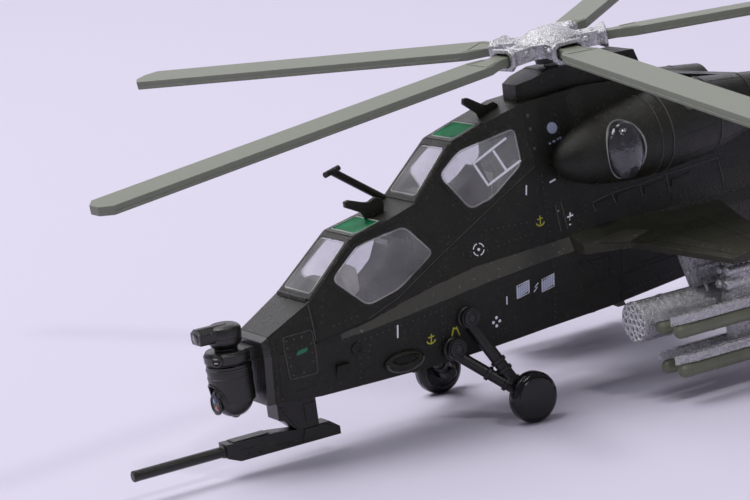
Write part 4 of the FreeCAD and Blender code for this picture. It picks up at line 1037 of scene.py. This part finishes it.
# ---------------------------------------------------------------- undercarriage
WHEEL_X, WHEEL_Y, WHEEL_RADIUS, WHEEL_WIDTH = 15.3, -20.4, 4.2, 3.0
TAIL_WHEEL_Y, TAIL_WHEEL_RADIUS, TAIL_WHEEL_WIDTH = 101.0, 2.6, 1.8
KNEE = Vector((12.3, WHEEL_Y, WHEEL_RADIUS))
gear = Shape()
for y, z, x, r in ((-26.2, 17.8, 8.75, 1.35), (-29.2, 13.2, 8.35, 1.45)):
    gear.turned((x, y, z), PORT,
                [(0, r), (0.3, r), (0.42, r - 0.2), (0.42, r - 0.5), (0.2, r - 0.6), (0.2, 0.1)], 20)
    gear.turned((x - 1.6, y, z), PORT, [(0, r + 0.3), (0.2, r + 0.55), (0.6, r + 0.55), (0.8, r + 0.3)], 20)
for start, r, places in ((Vector((6.6, -26.2, 17.8)), 1.05, (0.55, 0.66, 0.8)),
                         (Vector((5.6, -29.2, 12.6)), 0.95, (0.5, 0.74))):
    along = (KNEE - start).normalized()
    for t in places:
        gear.turned(start + (KNEE - start) * t, along, [(0, r), (0.1, r + 0.28), (0.7, r + 0.28), (0.8, r)], 16)
gear.turned(KNEE + Vector((-1.9, 0, 0)), PORT, [(0, 0.7), (0.2, 1.0), (0.6, 1.0)], 12)
save_pair(gear, "leg_details", bevel=0.05, slot="gear_black")
crosses = Shape()
for y, z, x in ((-26.2, 17.8, 9.0), (-29.2, 13.2, 8.6)):
    crosses.block((x, y - 0.45, z - 0.1), (x + 0.1, y + 0.45, z + 0.1))
    crosses.block((x, y - 0.1, z - 0.45), (x + 0.1, y + 0.1, z + 0.45))
save_pair(crosses, "leg_screw_slots", RUB_AND_GLINT_EDGE, slot="steel")


def tyre_trim(x, y, radius, width):
    """Hub rings and tread grooves of one wheel; the side of its x says which way is outboard."""
    out = 1 if x > 0 else -1
    made = Shape()
    made.turned((x + out * width / 2, y, radius), (out, 0, 0),
                [(-0.1, radius * 0.80), (0.03, radius * 0.78), (0.10, radius * 0.66), (0.17, radius * 0.46),
                 (0.21, radius * 0.25), (0.22, radius * 0.08)], 40)
    made.turned((x - out * width / 2, y, radius), (-out, 0, 0),
                [(-0.1, radius * 0.8), (0.1, radius * 0.78), (0.1, radius * 0.68), (0.0, radius * 0.66),
                 (0.16, radius * 0.5), (0.16, radius * 0.36)], 40)
    for place in (-0.18, 0.18):
        made.turned((x + out * width * place, y, radius), PORT,
                    [(-0.08, radius - 0.05), (0, radius + 0.02), (0.08, radius - 0.05)], 48)
    return made


for side, name in ((1, "left"), (-1, "right")):
    wheel = tyre_trim(side * WHEEL_X, WHEEL_Y, WHEEL_RADIUS, WHEEL_WIDTH)
    wheel.save(f"wheel_trim_{name}", f"{name}_wheel", "tyre_black")
tail_wheel = tyre_trim(0.0001, TAIL_WHEEL_Y, TAIL_WHEEL_RADIUS, TAIL_WHEEL_WIDTH)
tail_wheel.save("tail_wheel_trim", "tail_wheel", "tyre_black")

# ---------------------------------------------------------------- tail
TAIL_ROTOR_Y, TAIL_ROTOR_Z = 109.0, 43.5
tail = Shape()
tail.turned((-7.0, TAIL_ROTOR_Y, TAIL_ROTOR_Z), PORT, [(0, 0.3), (0.2, 0.9), (1.0, 1.3), (2.4, 1.35), (2.5, 1.2)], 20)
for pair, angle in enumerate((35.0, 90.0)):
    spin = Matrix.Translation((-2.85 - pair, TAIL_ROTOR_Y, TAIL_ROTOR_Z))
    spin = spin @ Matrix.Rotation(math.radians(angle), 4, "X")
    strap = Shape()
    for root, tip in (((-4.6, -1.8), (-18.4, -16.6)), ((1.8, 4.6), (16.6, 18.4))):
        strap.block((-0.42, -1.0, root[0]), (0.42, 1.0, root[1]))
        strap.block((-0.36, -1.36, tip[0]), (0.36, -1.1, tip[1]))
    tail.join(strap.moved(spin))
tail.save("tail_rotor_trim", "tail_rotor", "blade_paint", bevel=0.1)
lamps = Shape()
lamps.turned((0, 112.0, 53.2), UP, [(-0.4, 0.7), (0.3, 0.6), (0.6, 0.2)], 14)
lamps.turned((0, 98.6, 38.0), (0, -0.92, 0.4), [(-0.4, 0.5), (0.5, 0.3)], 12)
lamps.save("fin_lamps", "airframe", "body_paint", LENS_RED)
aerials = Shape()
DECK_AERIAL = ((-1.2, -0.2), (1.4, -0.2), (1.6, 2.6), (0.4, 2.6))
BELLY_AERIAL = ((-1.0, 0.2), (1.2, 0.2), (1.5, -1.8), (0.5, -1.8))
feet = [(deck_top(0, y), DECK_AERIAL) for y in (46.0, 66.0)]
feet += [(cast(HULL, (0, y, -5), UP), BELLY_AERIAL) for y in (-34.0, 24.0)]
for (foot, _), outline in feet:
    aerials.prism([foot + Vector((-0.15, y, z)) for y, z in outline], (0.3, 0, 0))
aerials.save("aerials", "airframe", "body_paint", bevel=0.05)

make_camera()
make_stage()
